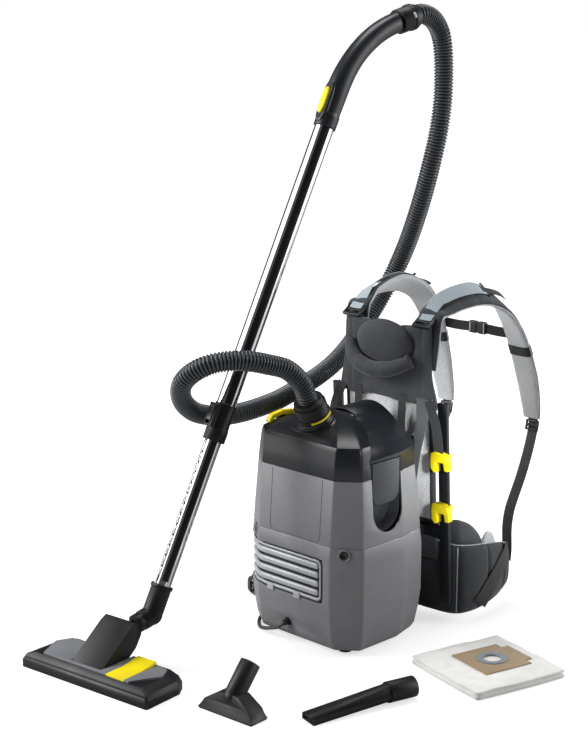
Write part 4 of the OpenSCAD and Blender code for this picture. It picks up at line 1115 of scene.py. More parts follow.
@dataclass
class Casing:
    """Motor base, bag chamber, rear cover, exhaust grille, feet, screws and the accessory pocket.

    Attributes:
        shell_edge_mm: radius of the shells' edges.
        small_edge_mm: radius of the pocket's edges.
        grille_span: lower and upper edge of the grille.
        first_bar: height of the grille's lowest bar.
        bar_pitch: distance between two bars.
        bar_out: how far the bars' middle stands out from the seam's section.
        chamfer: x and y of the front chamfer's outward direction at the right.
    """

    shell_edge_mm: float = 1.2
    small_edge_mm: float = 0.5
    grille_span: tuple[float, float] = (0.110, 0.202)
    first_bar: float = 0.1275
    bar_pitch: float = 0.019
    bar_out: float = 0.0082
    chamfer: tuple[float, float] = (0.5600, -0.8285)

    def shells(self) -> None:
        """The three outer shells."""
        refined("base_shell", "motor_base", GREY_ABS, "root", self.shell_edge_mm)
        refined("chamber_shell", "bag_chamber", GREY_ABS, "root", self.shell_edge_mm)
        refined("rear_cover", "rear_saddle", BLACK_ABS, "root", self.shell_edge_mm)

    def fittings(self) -> None:
        """Pocket, flap, feet and screws."""
        refined("accessory_pocket", "pocket_tray", DARK_ABS, "root", self.small_edge_mm)
        refined("pocket_flap", "pocket_door", DARK_ABS, "flap", 1.0)
        refined("rubber_feet", "feet", RUBBER, "root", 1.0)
        refined("housing_screws", "corner_screws", ZINC, "root", 0.3)

    @staticmethod
    def wall(out: float) -> Points:
        """Plan of the wall round the grille, from its right edge to behind the left chamfer.

        Args:
            out: distance from the seam's section, in metres.

        Returns:
            Points of x and y.
        """
        front, side = -0.114 - out, -0.148 - out
        corner = front + 0.034 + 0.4 * out
        return filleted([[0.082, front], [-0.102, front], [side, corner], [side, -0.076]], 0.016)

    def on_wall(self, out: float, flat: Points) -> Points:
        """Wraps points of a flat drawing round the wall.

        Args:
            out: distance from the seam's section.
            flat: rows of the way along the wall, from 0 to 1, and the height.

        Returns:
            The points.
        """
        plan = self.wall(out)
        runs = run_length(plan)
        x, y = (np.interp(flat[:, 0] * runs[-1], runs, plan[:, k]) for k in range(2))
        return np.stack([x, y, flat[:, 1]], -1)

    def grille(self) -> None:
        """The grille: a rounded frame, four thick bars, a dark plate behind them, two clips and a gasket."""
        length = run_length(self.wall(0.012))[-1]
        for name, inset, out, radius, finish, body in (
            ("grille_frame", 0.0046, 0.0098, 0.0034, SILVER_ABS, "grille"),
            ("grille_gasket", 0.0002, 0.0116, 0.0019, RUBBER, "root"),
        ):
            low, high = self.grille_span[0] + inset, self.grille_span[1] - inset
            far = length - inset
            loop = filleted([[inset, low], [far, low], [far, high], [inset, high]], 0.013, True, 9)
            line = np.vstack([np.linspace(a, b, 9)[:-1] for a, b in zip(loop, np.roll(loop, -1, 0))])
            line[:, 0] /= length
            path = self.on_wall(out, line)
            rim = surface(name, closed_tube(path, radius, 12), finish, ring=True)
            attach(rim, body)
        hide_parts("exhaust_grille")
        t = np.linspace(0.045, 0.962, 110)
        ends = np.clip(np.minimum(t - 0.040, 0.967 - t) / 0.02, 0.05, 1) ** 0.5
        for k in range(4):
            height = np.full_like(t, self.first_bar + self.bar_pitch * k)
            path = self.on_wall(self.bar_out, np.stack([t, height], -1))
            grid = band(path, UP, 0.0068 * ends, 0.0040 * ends, 20, 1.0)
            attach(surface(f"grille_bar_{k + 1}", grid, SILVER_ABS), "grille")
        t = np.linspace(0.02, 0.98, 90)
        path = self.on_wall(0.0035, np.stack([t, np.full_like(t, 0.156)], -1))
        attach(surface("grille_backing", strap_grid(path, (0, 0, 1), 0.042, 0.0008), RUBBER), "grille")
        for word, x in (("left", -0.064), ("right", 0.012)):
            low, high = (x - 0.0095, -0.1292, 0.1035), (x + 0.0095, -0.1230, 0.1170)
            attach(boxy(f"grille_clip_{word}", low, high, SILVER_ABS, 0.0016), "grille")

    def details(self) -> None:
        """Screw bosses on the front chamfers, and painted shade: a dark dish in the gland's recess, a line
        round the front panel.
        """
        for sign, side in SIDES:
            normal = np.array([sign * self.chamfer[0], self.chamfer[1], 0.0])
            outside = np.array([sign * 0.124, -0.104, 0.2085]) + 0.06 * normal
            profile = [
                [0.0046, -0.0004], [0.0046, 0.0003], [0.0095, 0.0003], [0.0101, 0.0013], [0.0116, 0.0018],
                [0.0129, 0.0011], [0.0135, -0.0006],
            ]  # fmt: skip
            centre = touch("base_shell", outside, -normal) + [0, 0, 0.0095]
            boss = turned_ring(f"screw_boss_{side}", centre, normal, profile, [GREY_ABS, RUBBER], 2)
            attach(boss, "root")
        # The recess round the gland is drawn as a dark rubber dish: painted shade of the recess.
        below = touch("base_shell", (-0.020, -0.2, 0.0215), (0.0, 1.0, 0.0))
        centre = below + [0, 0, 0.0215]
        profile = [[0.009, 0.0], [0.009, 0.0022], [0.0145, 0.0022], [0.0165, 0.0012], [0.0172, -0.0035]]
        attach(turned_ring("gland_recess_shade", centre, np.array([0.0, -1.0, 0.0]), profile, RUBBER), "root")
        # The front panel's outline: a thin tube of darker grey ABS, painted shade of the groove.
        loop = filleted([[-0.070, 0.366], [-0.070, 0.236], [0.072, 0.236], [0.072, 0.366]], 0.014, False, 9)
        line = resample(np.hstack([loop, np.zeros((len(loop), 1))]), 150)[:, :2]
        path = np.array([touch("chamber_shell", (x, -0.3, z), (0.0, 1.0, 0.0)) for x, z in line])
        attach(surface("panel_outline", tube(path, 0.0006, 6), GROOVE_SHADE_ABS), "root")

    def build(self) -> None:
        """Makes the casing."""
        self.shells()
        self.fittings()
        self.grille()
        self.details()


@dataclass
class Lid:
    """The hinged lid with its latch, inlet ring, swivel collar and seal.

    Attributes:
        edge_mm: radius of the lid's edges.
        mark_turn: how far the collar's mark is turned about the inlet, in degrees.
    """

    edge_mm: float = 1.2
    mark_turn: float = 18.0

    def build(self) -> None:
        """Makes the lid's pieces."""
        refined("lid", "domed_lid", BLACK_ABS, "lid", self.edge_mm)
        refined("lid_hinge_pin", "hinge_rod", ZINC, "root", 0.3)
        refined("lid_latch", "latch_lever", YELLOW_POM, "latch", 1.0)
        refined("latch_bracket", "latch_cheeks", BLACK_ABS, "lid", 0.6)
        refined("inlet_ring", "inlet_flange", BLACK_ABS, "lid", 0.6)
        refined("hose_collar", "swivel_collar", BLACK_PP, "collar", 0.8)
        mark = refined("collar_mark", "collar_stripe", YELLOW_POM, "collar", 0.4)
        swivel = Matrix.Rotation(math.radians(self.mark_turn), 4, Vector(INLET_AXIS))
        mark.data.transform(Matrix.Translation(Vector(INLET)) @ swivel @ Matrix.Translation(-Vector(INLET)))
        line = np.stack([np.linspace(-0.0200, 0.0200, 20), np.full(20, 0.012), np.full(20, 0.4675)], -1)
        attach(surface("hinge_barrel", tube(line, 0.0068, 28), BLACK_ABS), "lid")
        refined("lid_seal", "rim_seal", RUBBER, "root", 0.4)


@dataclass
class Interior:
    """Motor, fan, filters and the bag in its holder: what an opened lid or a pulled grille shows.

    Attributes:
        folds: how many soft folds the bag has.
    """

    folds: int = 9

    def filter_bag(self) -> None:
        """The fleece bag, half full: a superellipse in plan that swells to the middle, with soft folds."""
        low, high = (np.array(v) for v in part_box("filter_bag"))
        centre, half = (low + high) / 2, (high - low) / 2
        t = np.linspace(0.0, 1.0, 36)
        angle = circle(96)
        swell = np.sin(np.pi * (0.12 + 0.76 * t)) ** 0.45
        fold = 1 + 0.05 * np.sin(self.folds * angle[None, :] + 5 * t[:, None]) * np.sin(np.pi * t)[:, None]
        x = squared(np.cos(angle), 0.6)
        y = squared(np.sin(angle), 0.6)
        scale = swell[:, None] * fold * 0.93
        grid = np.stack(
            [
                centre[0] + half[0] * x * scale,
                centre[1] + half[1] * y * scale,
                np.broadcast_to(low[2] + 0.001 + (high[2] - low[2] - 0.002) * t[:, None], scale.shape),
            ],
            -1,
        )
        bag = surface("fleece_bag", grid, FLEECE)
        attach(bag, "root")
        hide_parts("filter_bag")

    def build(self) -> None:
        """Makes the inner pieces."""
        refined("motor_housing", "motor_can", BLACK_PP, "root", 0.6)
        refined("motor_seals", "motor_gaskets", RUBBER, "root", 0.4)
        refined("fan_rotor", "fan_wheel", ALUMINIUM, "fan", 0.2)
        refined("motor_filter", "motor_filter_disc", FLEECE, "root", 1.0)
        refined("exhaust_filter", "exhaust_filter_pad", DARK_FLEECE, "root", 1.0)
        refined("bag_holder", "bag_bracket", GREEN_PP, "root", 0.6)
        self.filter_bag()


# ---- suction line


# The wand's foot, its lean from the upright, its heading in plan, its axis and the grip's upper side.
WAND_FOOT = np.array([-128.0, -386.0, 127.0]) * MM
WAND_LEAN, WAND_HEADING = math.radians(25.0), math.radians(83.0)
WAND_AHEAD = np.array([math.cos(WAND_HEADING), math.sin(WAND_HEADING), 0.0])
WAND_AXIS = math.sin(WAND_LEAN) * WAND_AHEAD + math.cos(WAND_LEAN) * np.array(UP)
WAND_UPPER = math.cos(WAND_LEAN) * WAND_AHEAD - math.sin(WAND_LEAN) * np.array(UP)
WAND_LENGTH = 1.017
# The hose inlet in the lid, and how far it leans forward.
INLET = np.array([0.0, -0.058, 0.465])
INLET_TILT = math.radians(27.0)
INLET_AXIS = np.array([0.0, -math.sin(INLET_TILT), math.cos(INLET_TILT)])
# The grip's straight length, the radius and angle of its bend, and the way its end points.
GRIP_STRAIGHT, GRIP_RADIUS, GRIP_BEND = 0.08, 0.25, math.radians(50.0)
GRIP_OUT = math.cos(GRIP_BEND) * WAND_AXIS + math.sin(GRIP_BEND) * WAND_UPPER


@dataclass
class SuctionHose:
    """The ribbed hose between collar and cuff.

    Attributes:
        diameter: over the ribs.
        rib_pitch: distance between ribs.
        rib_depth: depth of the valleys.
        sides: points round the hose.
        rings_per_rib: rings that draw one rib.
        follow_end: running length past which the hose no longer follows the lid; not used by the script.
        cuff: length of the cuff that takes the hose's end.
    """

    diameter: float = 0.042
    rib_pitch: float = 0.0068
    rib_depth: float = 0.0034
    sides: int = 26
    rings_per_rib: int = 8
    follow_end: float = 0.62
    cuff: float = 0.05

    def route(self) -> Points:
        """Centreline: out of the collar, once round the wand, past the casing and up into the cuff.

        Returns:
            Points of the centreline.
        """
        between = MM * np.array([
            [-6, -137, 584], [-17, -178, 599], [-29, -217, 610], [-46, -249, 613], [-68, -279, 609],
            [-94, -299, 595], [-121, -306, 573], [-147, -296, 545], [-166, -272, 513], [-176, -238, 487],
            [-178, -205, 473], [-175, -170, 465], [-173, -130, 461], [-172, -88, 461], [-172, -42, 464],
            [-172, 0, 469], [-174, 45, 478], [-177, 90, 488], [-181, 138, 500], [-186, 190, 518],
            [-191, 242, 546], [-196, 300, 590], [-190, 352, 650], [-172, 378, 708], [-145, 382, 765],
            [-114, 375, 825], [-88, 372, 890], [-68, 372, 955], [-54, 376, 1020], [-47, 380, 1085],
            [-46, 381, 1145], [-46, 377, 1198], [-46, 365, 1236], [-45, 338, 1263],
        ])  # fmt: skip
        end = WAND_FOOT + WAND_LENGTH * WAND_AXIS
        end = end + (GRIP_STRAIGHT + GRIP_RADIUS * math.sin(GRIP_BEND)) * WAND_AXIS
        end = end + GRIP_RADIUS * (1 - math.cos(GRIP_BEND)) * WAND_UPPER
        first = [INLET + d * INLET_AXIS for d in (0.024, 0.046, 0.068, 0.098)]
        last = [
            end + (self.cuff + 0.020) * GRIP_OUT - np.array([0, 0, 0.002]),
            end + (self.cuff - 0.008) * GRIP_OUT,
            end + (self.cuff - 0.034) * GRIP_OUT,
        ]
        return catmull(np.vstack([first, between, last]), 12)

    def build(self) -> None:
        """Makes the hose: a tube whose radius dips between its ribs."""
        path = self.route()
        length = run_length(path)[-1]
        ribs = round(length / self.rib_pitch)
        rings = ribs * self.rings_per_rib + 1
        line = resample(path, rings)
        turn = np.arange(rings) / self.rings_per_rib
        height = 0.5 - 0.5 * np.cos(2 * math.pi * turn)
        height = np.clip(height * 1.35 - 0.1, 0, 1) ** 0.8
        grid = tube(line, self.diameter / 2 - self.rib_depth * (1 - height), self.sides)
        hose = surface("ribbed_hose", grid, HOSE_EVA)
        crest = hose.data.attributes.new("rib_height", "FLOAT", "POINT")
        crest.data.foreach_set("value", np.repeat(height, self.sides).astype(np.float32))
        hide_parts("hose")
        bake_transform(hose)
        LOG.info("hose of %.3f m with %d ribs", length, ribs)


@dataclass
class Wand:
    """Grip, cuff, telescopic tubes and their lock.

    Attributes:
        edge_mm: radius of small edges.
        strip_side: middle direction of the guide strips.
        strip_half: half the angle that a strip covers.
    """

    edge_mm: float = 0.6
    strip_side: tuple[float, float, float] = (0.82, -0.56, 0.2)
    strip_half: float = math.radians(21.0)

    def strip(
        self, node: str, name: str, span: tuple[float, float], radii: tuple[float, float], body: str
    ) -> None:
        """A guide strip along a tube.

        Args:
            node: the strip in the frame.
            name: the piece's name.
            span: where it starts and ends, from the wand's foot.
            radii: its inner and outer radius.
            body: the body that it rides on.
        """
        middle = np.asarray(self.strip_side)
        middle = unit(middle - (middle @ WAND_AXIS) * WAND_AXIS)
        across = np.cross(WAND_AXIS, middle)
        a = np.linspace(-self.strip_half, self.strip_half, 12)[:, None]
        arc = np.cos(a) * middle + np.sin(a) * across
        ring = np.vstack([arc * radii[1], arc[::-1] * radii[0]])
        along = np.linspace(*span, 60)[:, None, None] * WAND_AXIS
        piece = surface(name, WAND_FOOT + along + ring[None], BLACK_PP, smooth=False)
        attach(piece, body)
        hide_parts(node)

    def grip(self) -> None:
        """The bent grip: a smooth oval sweep that swells round the slide's well."""
        top = WAND_FOOT + WAND_LENGTH * WAND_AXIS
        straight = [top + z * WAND_AXIS for z in np.linspace(0.0006, 0.079, 24)]
        knee = top + GRIP_STRAIGHT * WAND_AXIS + GRIP_RADIUS * WAND_UPPER
        bend = [
            knee + GRIP_RADIUS * (math.sin(a) * WAND_AXIS - math.cos(a) * WAND_UPPER)
            for a in np.linspace(0, GRIP_BEND, 70)
        ]
        path = resample(np.array(straight + bend), 120)
        share = np.linspace(0, 1, len(path))
        belly = np.exp(-(((share - 0.30) / 0.16) ** 2))
        collar = np.clip((0.10 - share) / 0.01, 0, 1)
        side = np.cross(WAND_AXIS, WAND_UPPER)
        wide = 0.0200 + 0.0012 * belly + 0.0022 * collar
        thick = 0.0212 + 0.0016 * belly + 0.0012 * collar
        grip = surface("pistol_grip", band(path, side, wide, thick, 48, 0.78), GRIP_PP)
        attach(grip, "root")
        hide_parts("grip_handle")
        low, high = (np.array(v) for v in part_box("suction_slide"))
        along = ((low + high) / 2 - top) @ WAND_AXIS
        axes, middle = (WAND_AXIS, side, -WAND_UPPER), top + along * WAND_AXIS
        for name, size, heights, finish, body in (
            ("slide_well", (0.092, 0.030), (0.010, 0.0242), GRIP_PP, "root"),
            ("slide_bed", (0.084, 0.0235), (0.012, 0.0246), RUBBER, "root"),
            ("air_slide", (0.056, 0.0185), (0.018, 0.0290), YELLOW_POM, "slide"),
        ):
            plate = oval_plate(name, middle, axes, size, heights, finish)
            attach(plate, body)
        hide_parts("suction_slide")

    def window(self) -> None:
        """The light window in the swivelling cuff."""
        low, high = (np.array(v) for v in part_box("handle_cuff"))
        facing = np.array([0.8, -0.55, 0.15])
        facing = unit(facing - (facing @ GRIP_OUT) * GRIP_OUT)
        axes = (np.cross(GRIP_OUT, facing), GRIP_OUT, facing)
        middle = (low + high) / 2 + 0.004 * GRIP_OUT
        pane = oval_plate("cuff_window", middle, axes, (0.013, 0.006), (0.022, 0.0284), LIGHT_PP)
        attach(pane, "cuff")

    def build(self) -> None:
        """Makes the wand's pieces."""
        refined("handle_cuff", "hose_cuff", BLACK_PP, "cuff", 0.8)
        self.grip()
        self.window()
        refined("outer_tube", "outer_wand", CHROME, "root", 0.0, 50.0)
        self.strip("outer_strip", "outer_guide", (0.421, 1.0168), (0.0196, 0.0213), "root")
        refined("tube_lock", "lock_sleeve", BLACK_PP, "root", self.edge_mm)
        refined("lock_button", "lock_key", DARK_ABS, "button", 1.2)
        refined("inner_tube", "inner_wand", CHROME, "inner", 0.0, 50.0)
        self.strip("inner_strip", "inner_guide", (0.046, 0.452), (0.0172, 0.0182), "inner")


# ---- floor tool and small tools


@dataclass
class FloorTool:
    """Neck, throat, base with its grey panel, pedal and brush."""

    def build(self) -> None:
        """Makes the floor tool's pieces."""
        refined("tool_neck", "elbow_neck", BLACK_PP, "inner", 0.8, 40.0)
        refined("tool_throat", "wedge_throat", BLACK_PP, "throat", 1.6)
        refined("tool_top", "top_panel", PANEL_ABS, "tool", 0.8)
        refined("tool_base", "sole_body", BLACK_PP, "tool", 2.2)
        refined("tool_brush", "brush_strip", BRISTLE, "brush", 0.3)
        refined("tool_pedal", "rocker_pedal", YELLOW_POM, "pedal", 1.2)


@dataclass
class SmallTools:
    """Upholstery tool and crevice tool, loose on the floor."""

    def build(self) -> None:
        """Makes both tools."""
        refined("upholstery_tool", "upholstery_nozzle", BLACK_PP, "upholstery", 1.2)
        refined("crevice_tool", "crevice_nozzle", BLACK_PP, "crevice", 1.0)


@dataclass
class SpareBag:
    """A folded fleece filter bag with its board plate, lying flat.

    Attributes:
        centre: its middle on the floor.
        turn: its turn in radians.
        half: half its width.
        height: its thickness at the middle.
        plate_shift: how far the plate's middle lies behind the bag's.
    """

    centre: tuple[float, float] = (0.376, 0.045)
    turn: float = math.radians(-14.0)
    half: float = 0.112
    height: float = 0.022
    plate_shift: float = 0.011

    def fleece(self) -> None:
        """The folded bag: a square cushion, flat below, with a soft crown, creases and a folded edge."""
        n, m = 120, 40
        angle = circle(n)
        square = np.maximum(np.abs(np.cos(angle)), np.abs(np.sin(angle)))
        reach = (1 / square) ** 0.93
        t = np.linspace(0.0, 1.0, m)
        radial = np.concatenate([t[:-1] ** 0.7, np.ones(14), t[::-1][1:] ** 0.7])
        crown = 0.78 + 0.22 * (1 - t[::-1][1:] ** 5)
        level = np.concatenate([np.zeros(m - 1), np.linspace(0.06, 0.78, 14), crown])
        out = radial[:, None] * reach[None, :]
        bulge = 0.985 + 0.035 * np.abs(np.sin(2 * math.pi * np.minimum(level, 0.95))[:, None]) ** 0.5
        x = self.half * 0.965 * out * bulge * np.cos(angle)
        y = self.half * 0.965 * out * bulge * np.sin(angle)
        wave = 0.0009 * np.sin(46 * x + 20 * y) * np.cos(38 * y - 9 * x) + 0.0006 * np.sin(90 * x - 70 * y)
        z = self.height * level[:, None] * np.ones_like(x)
        z = np.clip(z + wave * (level[:, None] > 0.3), 0.0003, self.height - 0.0002)
        c, s = math.cos(self.turn), math.sin(self.turn)
        grid = np.stack([self.centre[0] + c * x - s * y, self.centre[1] + s * x + c * y, z], -1)
        bag = surface("spare_fleece_bag", grid, FLEECE)
        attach(bag, "spare_bag")
        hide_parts("spare_bag")

    def build(self) -> None:
        """Makes bag and plate."""
        self.fleece()
        refined("spare_bag_plate", "bag_board", BOARD, "spare_bag", 0.4)
        c, s = math.cos(self.turn), math.sin(self.turn)
        centre = (self.centre[0] - self.plate_shift * s, self.centre[1] + self.plate_shift * c, 0.0)
        profile = MM * np.array(
            [[18.7, 22.5], [30.4, 24.2], [30.4, 25.8], [29.5, 26.6], [19.7, 26.6], [18.7, 25.7]]
        )
        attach(turned_ring("bag_seal_ring", centre, UP, profile, SEAL_TPE), "spare_bag")


# ---- mains cord


@dataclass
class MainsCord:
    """The mains cord from its gland to the coil beside the casing, with tie and plug.

    Attributes:
        diameter: of the cord.
        turns: of the coil.
        layers: of the coil.
    """

    diameter: float = 0.008
    turns: int = 16
    layers: int = 4

    @property
    def pitch(self) -> float:
        """Distance between neighbouring turns."""
        return self.diameter + 0.0008

    @property
    def radius(self) -> float:
        """Mean radius of the coil."""
        return 6 * self.diameter

    @property
    def middle(self) -> Points:
        """Middle of the coil, on the floor."""
        return np.array([-0.252, 0.017 + self.radius + 2 * self.pitch, 0.0])

    def coil(self) -> Points:
        """Turns at a steady pitch that wind in and out, and climb a layer where they reverse.

        Returns:
            Points of the cord's middle in the coil.
        """
        pitch, middle = self.pitch, self.middle
        per_layer = self.turns / self.layers
        turn = np.linspace(0, self.turns, self.turns * 32 + 1)
        layer = np.minimum(self.layers - 1, np.floor(turn / per_layer))
        f = turn - layer * per_layer
        way = np.where(layer % 2 == 0, 1, -1)
        climb = np.where(layer < self.layers - 1, np.maximum(0, (f - per_layer + 0.5) / 0.5), 0)
        r = self.radius + way * pitch * (per_layer / 2 - f - 0.5 * np.sin(math.pi * climb))
        a = 2 * math.pi * turn
        z = self.diameter / 2 + 0.0005 + pitch * (layer + climb)
        return np.stack([middle[0] - r * np.sin(a), middle[1] - r * np.cos(a), z], -1)

    def route(self) -> Points:
        """The whole centreline.

        Returns:
            Points from the gland to the plug.
        """
        lead = MM * np.array([
            [-20, -115, 43], [-20, -123, 43], [-21, -131, 42], [-27, -136, 36], [-40, -136, 28],
            [-62, -133, 20], [-86, -127, 12], [-108, -116, 6.5], [-128, -100, 4.5], [-146, -80, 4.5],
            [-160, -56, 4.5], [-175, -28, 4.5], [-195, -2, 4.5], [-222, 12, 4.5], [-252, 17, 4.5],
        ])  # fmt: skip
        return np.vstack([resample(catmull(lead, 8), 90)[:-1], self.coil()])

    def tie(self) -> Piece:
        """A hook-and-loop tie: a flat ring round the coil's section.

        Returns:
            The finished piece.
        """
        pitch, radius, centre = self.pitch, self.radius, self.middle
        angle = math.radians(205)
        out = np.array([math.sin(angle), math.cos(angle), 0.0])
        top = self.layers * pitch + 0.0012
        a = circle(48)
        half = np.array([2.05 * pitch + self.diameter / 2 + 0.0006, top / 2])
        p = np.stack([squared(np.cos(a), 0.45) * half[0], squared(np.sin(a), 0.45) * half[1]], -1)
        loop = centre + (radius + p[:, :1]) * out + np.array([0, 0, 1.0]) * (p[:, 1:] + half[1] + 0.0013)
        across = np.cross(out, [0, 0, 1.0])
        inward = unit(centre + radius * out + np.array([0, 0, half[1]]) - loop)
        section = np.array([[-0.008, 0.0], [-0.008, 0.0012], [0.008, 0.0012], [0.008, 0.0]])
        grid = loop[:, None] + section[None, :, :1] * across - section[None, :, 1:] * inward[:, None]
        return surface("cord_tie", grid, BLACK_WEBBING, ring=True, smooth=False)

    def build(self) -> None:
        """Makes cord, tie, gland and plug."""
        path = self.route()
        cord = surface("mains_cord", tube(path, self.diameter / 2 - 0.0001, 12), CORD_PVC)
        tie = self.tie()
        gland = refined("cord_gland", "strain_relief", RUBBER, "root", 0.6)
        plug = refined("plug", "mains_plug", RUBBER, "root", 1.0)
        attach(cord, "root")
        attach(tie, "root")
        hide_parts("cord_lead", "cord_coil")
        LOG.info("mains cord of %.3f m", run_length(path)[-1])


# ---- harness


def boxy(name: str, low: tuple, high: tuple, finish: Finish, edge: float) -> Piece:
    """A moulded block with rounded edges: a superellipse section that closes in at its ends.

    Args:
        name: the piece's name.
        low: its lowest corner.
        high: its highest corner.
        finish: its finish.
        edge: radius of its edges.

    Returns:
        The block.
    """
    low, high = np.array(low, float), np.array(high, float)
    half, centre = (high - low) / 2, (high + low) / 2
    x, z = soft_square(40, 0.28, 0.28)
    t = np.linspace(0, math.pi / 2, 5)
    inset = np.concatenate([edge * (1 - np.sin(t)), edge * (1 - np.sin(t))[::-1]])
    along = np.concatenate([-half[1] + edge * (1 - np.cos(t)), half[1] - edge * (1 - np.cos(t))[::-1]])
    grid = np.stack(
        [
            centre[0] + x[None] * (half[0] - inset[:, None]),
            centre[1] + np.broadcast_to(along[:, None], (len(along), 40)),
            centre[2] + z[None] * (half[2] - inset[:, None]),
        ],
        -1,
    )
    return surface(name, grid, finish)


@dataclass
class ShoulderStraps:
    """Both padded shoulder straps with piping, load webbing, elastic keepers and chest strap.

    Attributes:
        half_width: half a strap's width.
        half_thick: half its thickness.
        load_share: how far along the strap the load webbing reaches.
        roots: first points of a strap's middle, where it lies against the yoke, in millimetres.
    """

    half_width: float = 0.030
    half_thick: float = 0.008
    load_share: float = 0.44
    roots: tuple = ((94, 167, 556), (99, 171, 604), (101, 174, 640))

    def path(self, sign: float) -> Points:
        """Centreline of one strap: up from the yoke, over the shoulder and down to the buckle.

        Args:
            sign: which side, -1 or 1.

        Returns:
            Points of the centreline.
        """
        route = MM * np.array([
            [101, 180, 664], [102, 196, 673], [104, 228, 685], [107, 268, 692], [108, 310, 693],
            [110, 352, 683], [112, 392, 661], [115, 426, 622], [119, 453, 573], [122, 474, 520],
            [124, 490, 468], [124, 502, 420], [124, 506, 392],
        ])  # fmt: skip
        path = catmull(np.vstack([np.array(self.roots) * MM, route]), 10)
        path[:, 0] *= sign
        return path

    def wide(self, path: Points) -> Points:
        """Direction of a strap's width at each point: it slopes down and outward over the shoulder.

        Args:
            path: points of the strap.

        Returns:
            A unit vector for each point.
        """
        sign = np.sign(path[0, 0])
        places = [0.170, 0.186, 0.215, 0.300, 0.392, 0.460, 0.500]
        roll = np.radians(np.interp(path[:, 1], places, [0, 8, 30, 40, 30, 14, 8]))
        return np.stack([np.cos(roll), np.zeros(len(path)), -sign * np.sin(roll)], -1)

    def sides(self, path: Points) -> tuple[Points, Points]:
        """Across direction and outward direction at each point of a strap.

        Args:
            path: points of the strap.

        Returns:
            Two unit vectors for each point.
        """
        heading = unit(np.gradient(path, axis=0))
        wide = self.wide(path)
        across = unit(wide - (heading * wide).sum(1, keepdims=True) * heading)
        return across, -np.cross(heading, across)

    def strap(self, sign: float, side: str) -> None:
        """One strap: dark outer cloth, light mesh lining, piping on its seams.

        Args:
            sign: which side, -1 or 1.
            side: the side's word in the names.
        """
        path = resample(self.path(sign), 190)
        share = np.linspace(0, 1, len(path))
        width = self.half_width * (1 - 0.30 * np.clip((share - 0.82) / 0.18, 0, 1) ** 1.5)
        width = width * (1 + 0.10 * np.clip((0.12 - share) / 0.12, 0, 1))
        thick = self.half_thick * fullness(share, 0.05, 0.3)
        thick = thick * (1 - 0.12 * np.exp(-(((share * 12) % 1 - 0.5) / 0.12) ** 2))
        grid = band(path, self.wide(path), width, thick, 36, 0.5)
        half = np.zeros((len(path) - 1, 36), np.int32)
        half[:, 18:] = 1
        pad = surface(f"shoulder_pad_{side}", grid, [PACK_CLOTH, LIGHT_MESH], face_finish=half)
        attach(pad, "root")
        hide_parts("shoulder_straps")
        across, _ = self.sides(path)
        for edge, word in ((1, "outer"), (-1, "inner")):
            line = path + edge * across * (width[:, None] + 0.0004)
            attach(surface(f"strap_piping_{word}_{side}", tube(line, 0.0015, 8), PIPING), "root")

    def webbing(self, sign: float, side: str) -> None:
        """The load webbing from the top buckle to the crest, its loop and its loose black end.

        Args:
            sign: which side, -1 or 1.
            side: the side's word in the names.
        """
        path = resample(self.path(sign), 110, 0.12, self.load_share)
        across, out = self.sides(path)
        share = np.linspace(0, 1, len(path))[:, None]
        lift = self.half_thick + 0.0012 + 0.005 * np.sin(math.pi * share)
        inward = -sign * 0.009 * np.clip(share / 0.15, 0, 1)
        line = path + out * lift + across * inward
        start = np.array([sign * 0.098, 0.158, 0.6535])
        rise = start + [0, 0.012, 0.0105]
        line = resample(catmull(np.vstack([start, rise, line[34::8], line[-1:]]), 8), 110)
        wide = self.wide(line) * np.clip(np.linspace(0, 6, 110), 0, 1)[:, None]
        wide[:, 0] = np.maximum(wide[:, 0], 0.6)
        strip = surface(f"load_webbing_{side}", strap_grid(line, wide, 0.0165, 0.0008), GREY_WEBBING)
        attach(strip, "root")
        at, aside, up = line[-1], across[-1], out[-1]
        heading = unit(line[-1] - line[-4])
        fall = np.array([[-0.014, 0.0], [0.010, 0.0012], [0.032, 0.0036], [0.054, 0.004], [0.072, 0.001]])
        tail = catmull(at + fall @ np.stack([heading, up]), 8)
        end = surface(f"load_tail_{side}", strap_grid(tail, aside, 0.0095, 0.0008), BLACK_WEBBING)
        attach(end, "root")
        bar = at + 0.0008 * up + np.linspace(-0.020, 0.020, 12)[:, None] * aside
        ring = surface(f"load_bar_{side}", tube(*rounded_ends(bar, np.full(12, 0.0028)), 12), BLACK_ABS)
        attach(ring, "root")

    def keeper(self, sign: float, side: str) -> None:
        """The elastic keeper round each strap, where the chest strap starts.

        Args:
            sign: which side, -1 or 1.
            side: the side's word in the names.
        """
        path = resample(self.path(sign), 14, 0.715, 0.752)
        grid = band(path, self.wide(path), self.half_width + 0.0014, self.half_thick + 0.0014, 36, 0.5)
        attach(surface(f"strap_keeper_{side}", grid, BLACK_WEBBING), "root")

    def chest(self) -> None:
        """The chest strap: two lengths of webbing and a side-release buckle."""
        y, z, half = 0.4627, 0.586, 0.011
        for sign, side in SIDES:
            x = np.linspace(0.0225, 0.097, 26)
            sag = 0.0016 * np.sin(math.pi * (x - 0.02) / 0.08)
            line = np.stack([sign * x, y + 0 * x, z - sag], -1)
            grid = strap_grid(line, (0, 0, 1), half, 0.0009)
            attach(surface(f"chest_webbing_{side}", grid, BLACK_WEBBING), "root")
            body = boxy(
                f"chest_buckle_{side}",
                (0.0012 if sign > 0 else -0.024, y - 0.0052, 0.5722),
                (0.024 if sign > 0 else -0.0012, y + 0.0052, 0.5998),
                BLACK_ABS,
                0.0022,
            )
            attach(body, "root")
            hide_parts("chest_strap")
        low, high = (-0.013, y - 0.0034, 0.5755), (0.013, y + 0.0034, 0.5965)
        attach(boxy("chest_buckle_tongue", low, high, DARK_ABS, 0.0015), "root")
        for word, x in (("left", -0.0195), ("right", 0.0195)):
            low, high = (x - 0.0016, y - 0.0058, 0.5745), (x + 0.0016, y + 0.0058, 0.5975)
            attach(boxy(f"chest_fold_{word}", low, high, PIPING, 0.0006), "root")

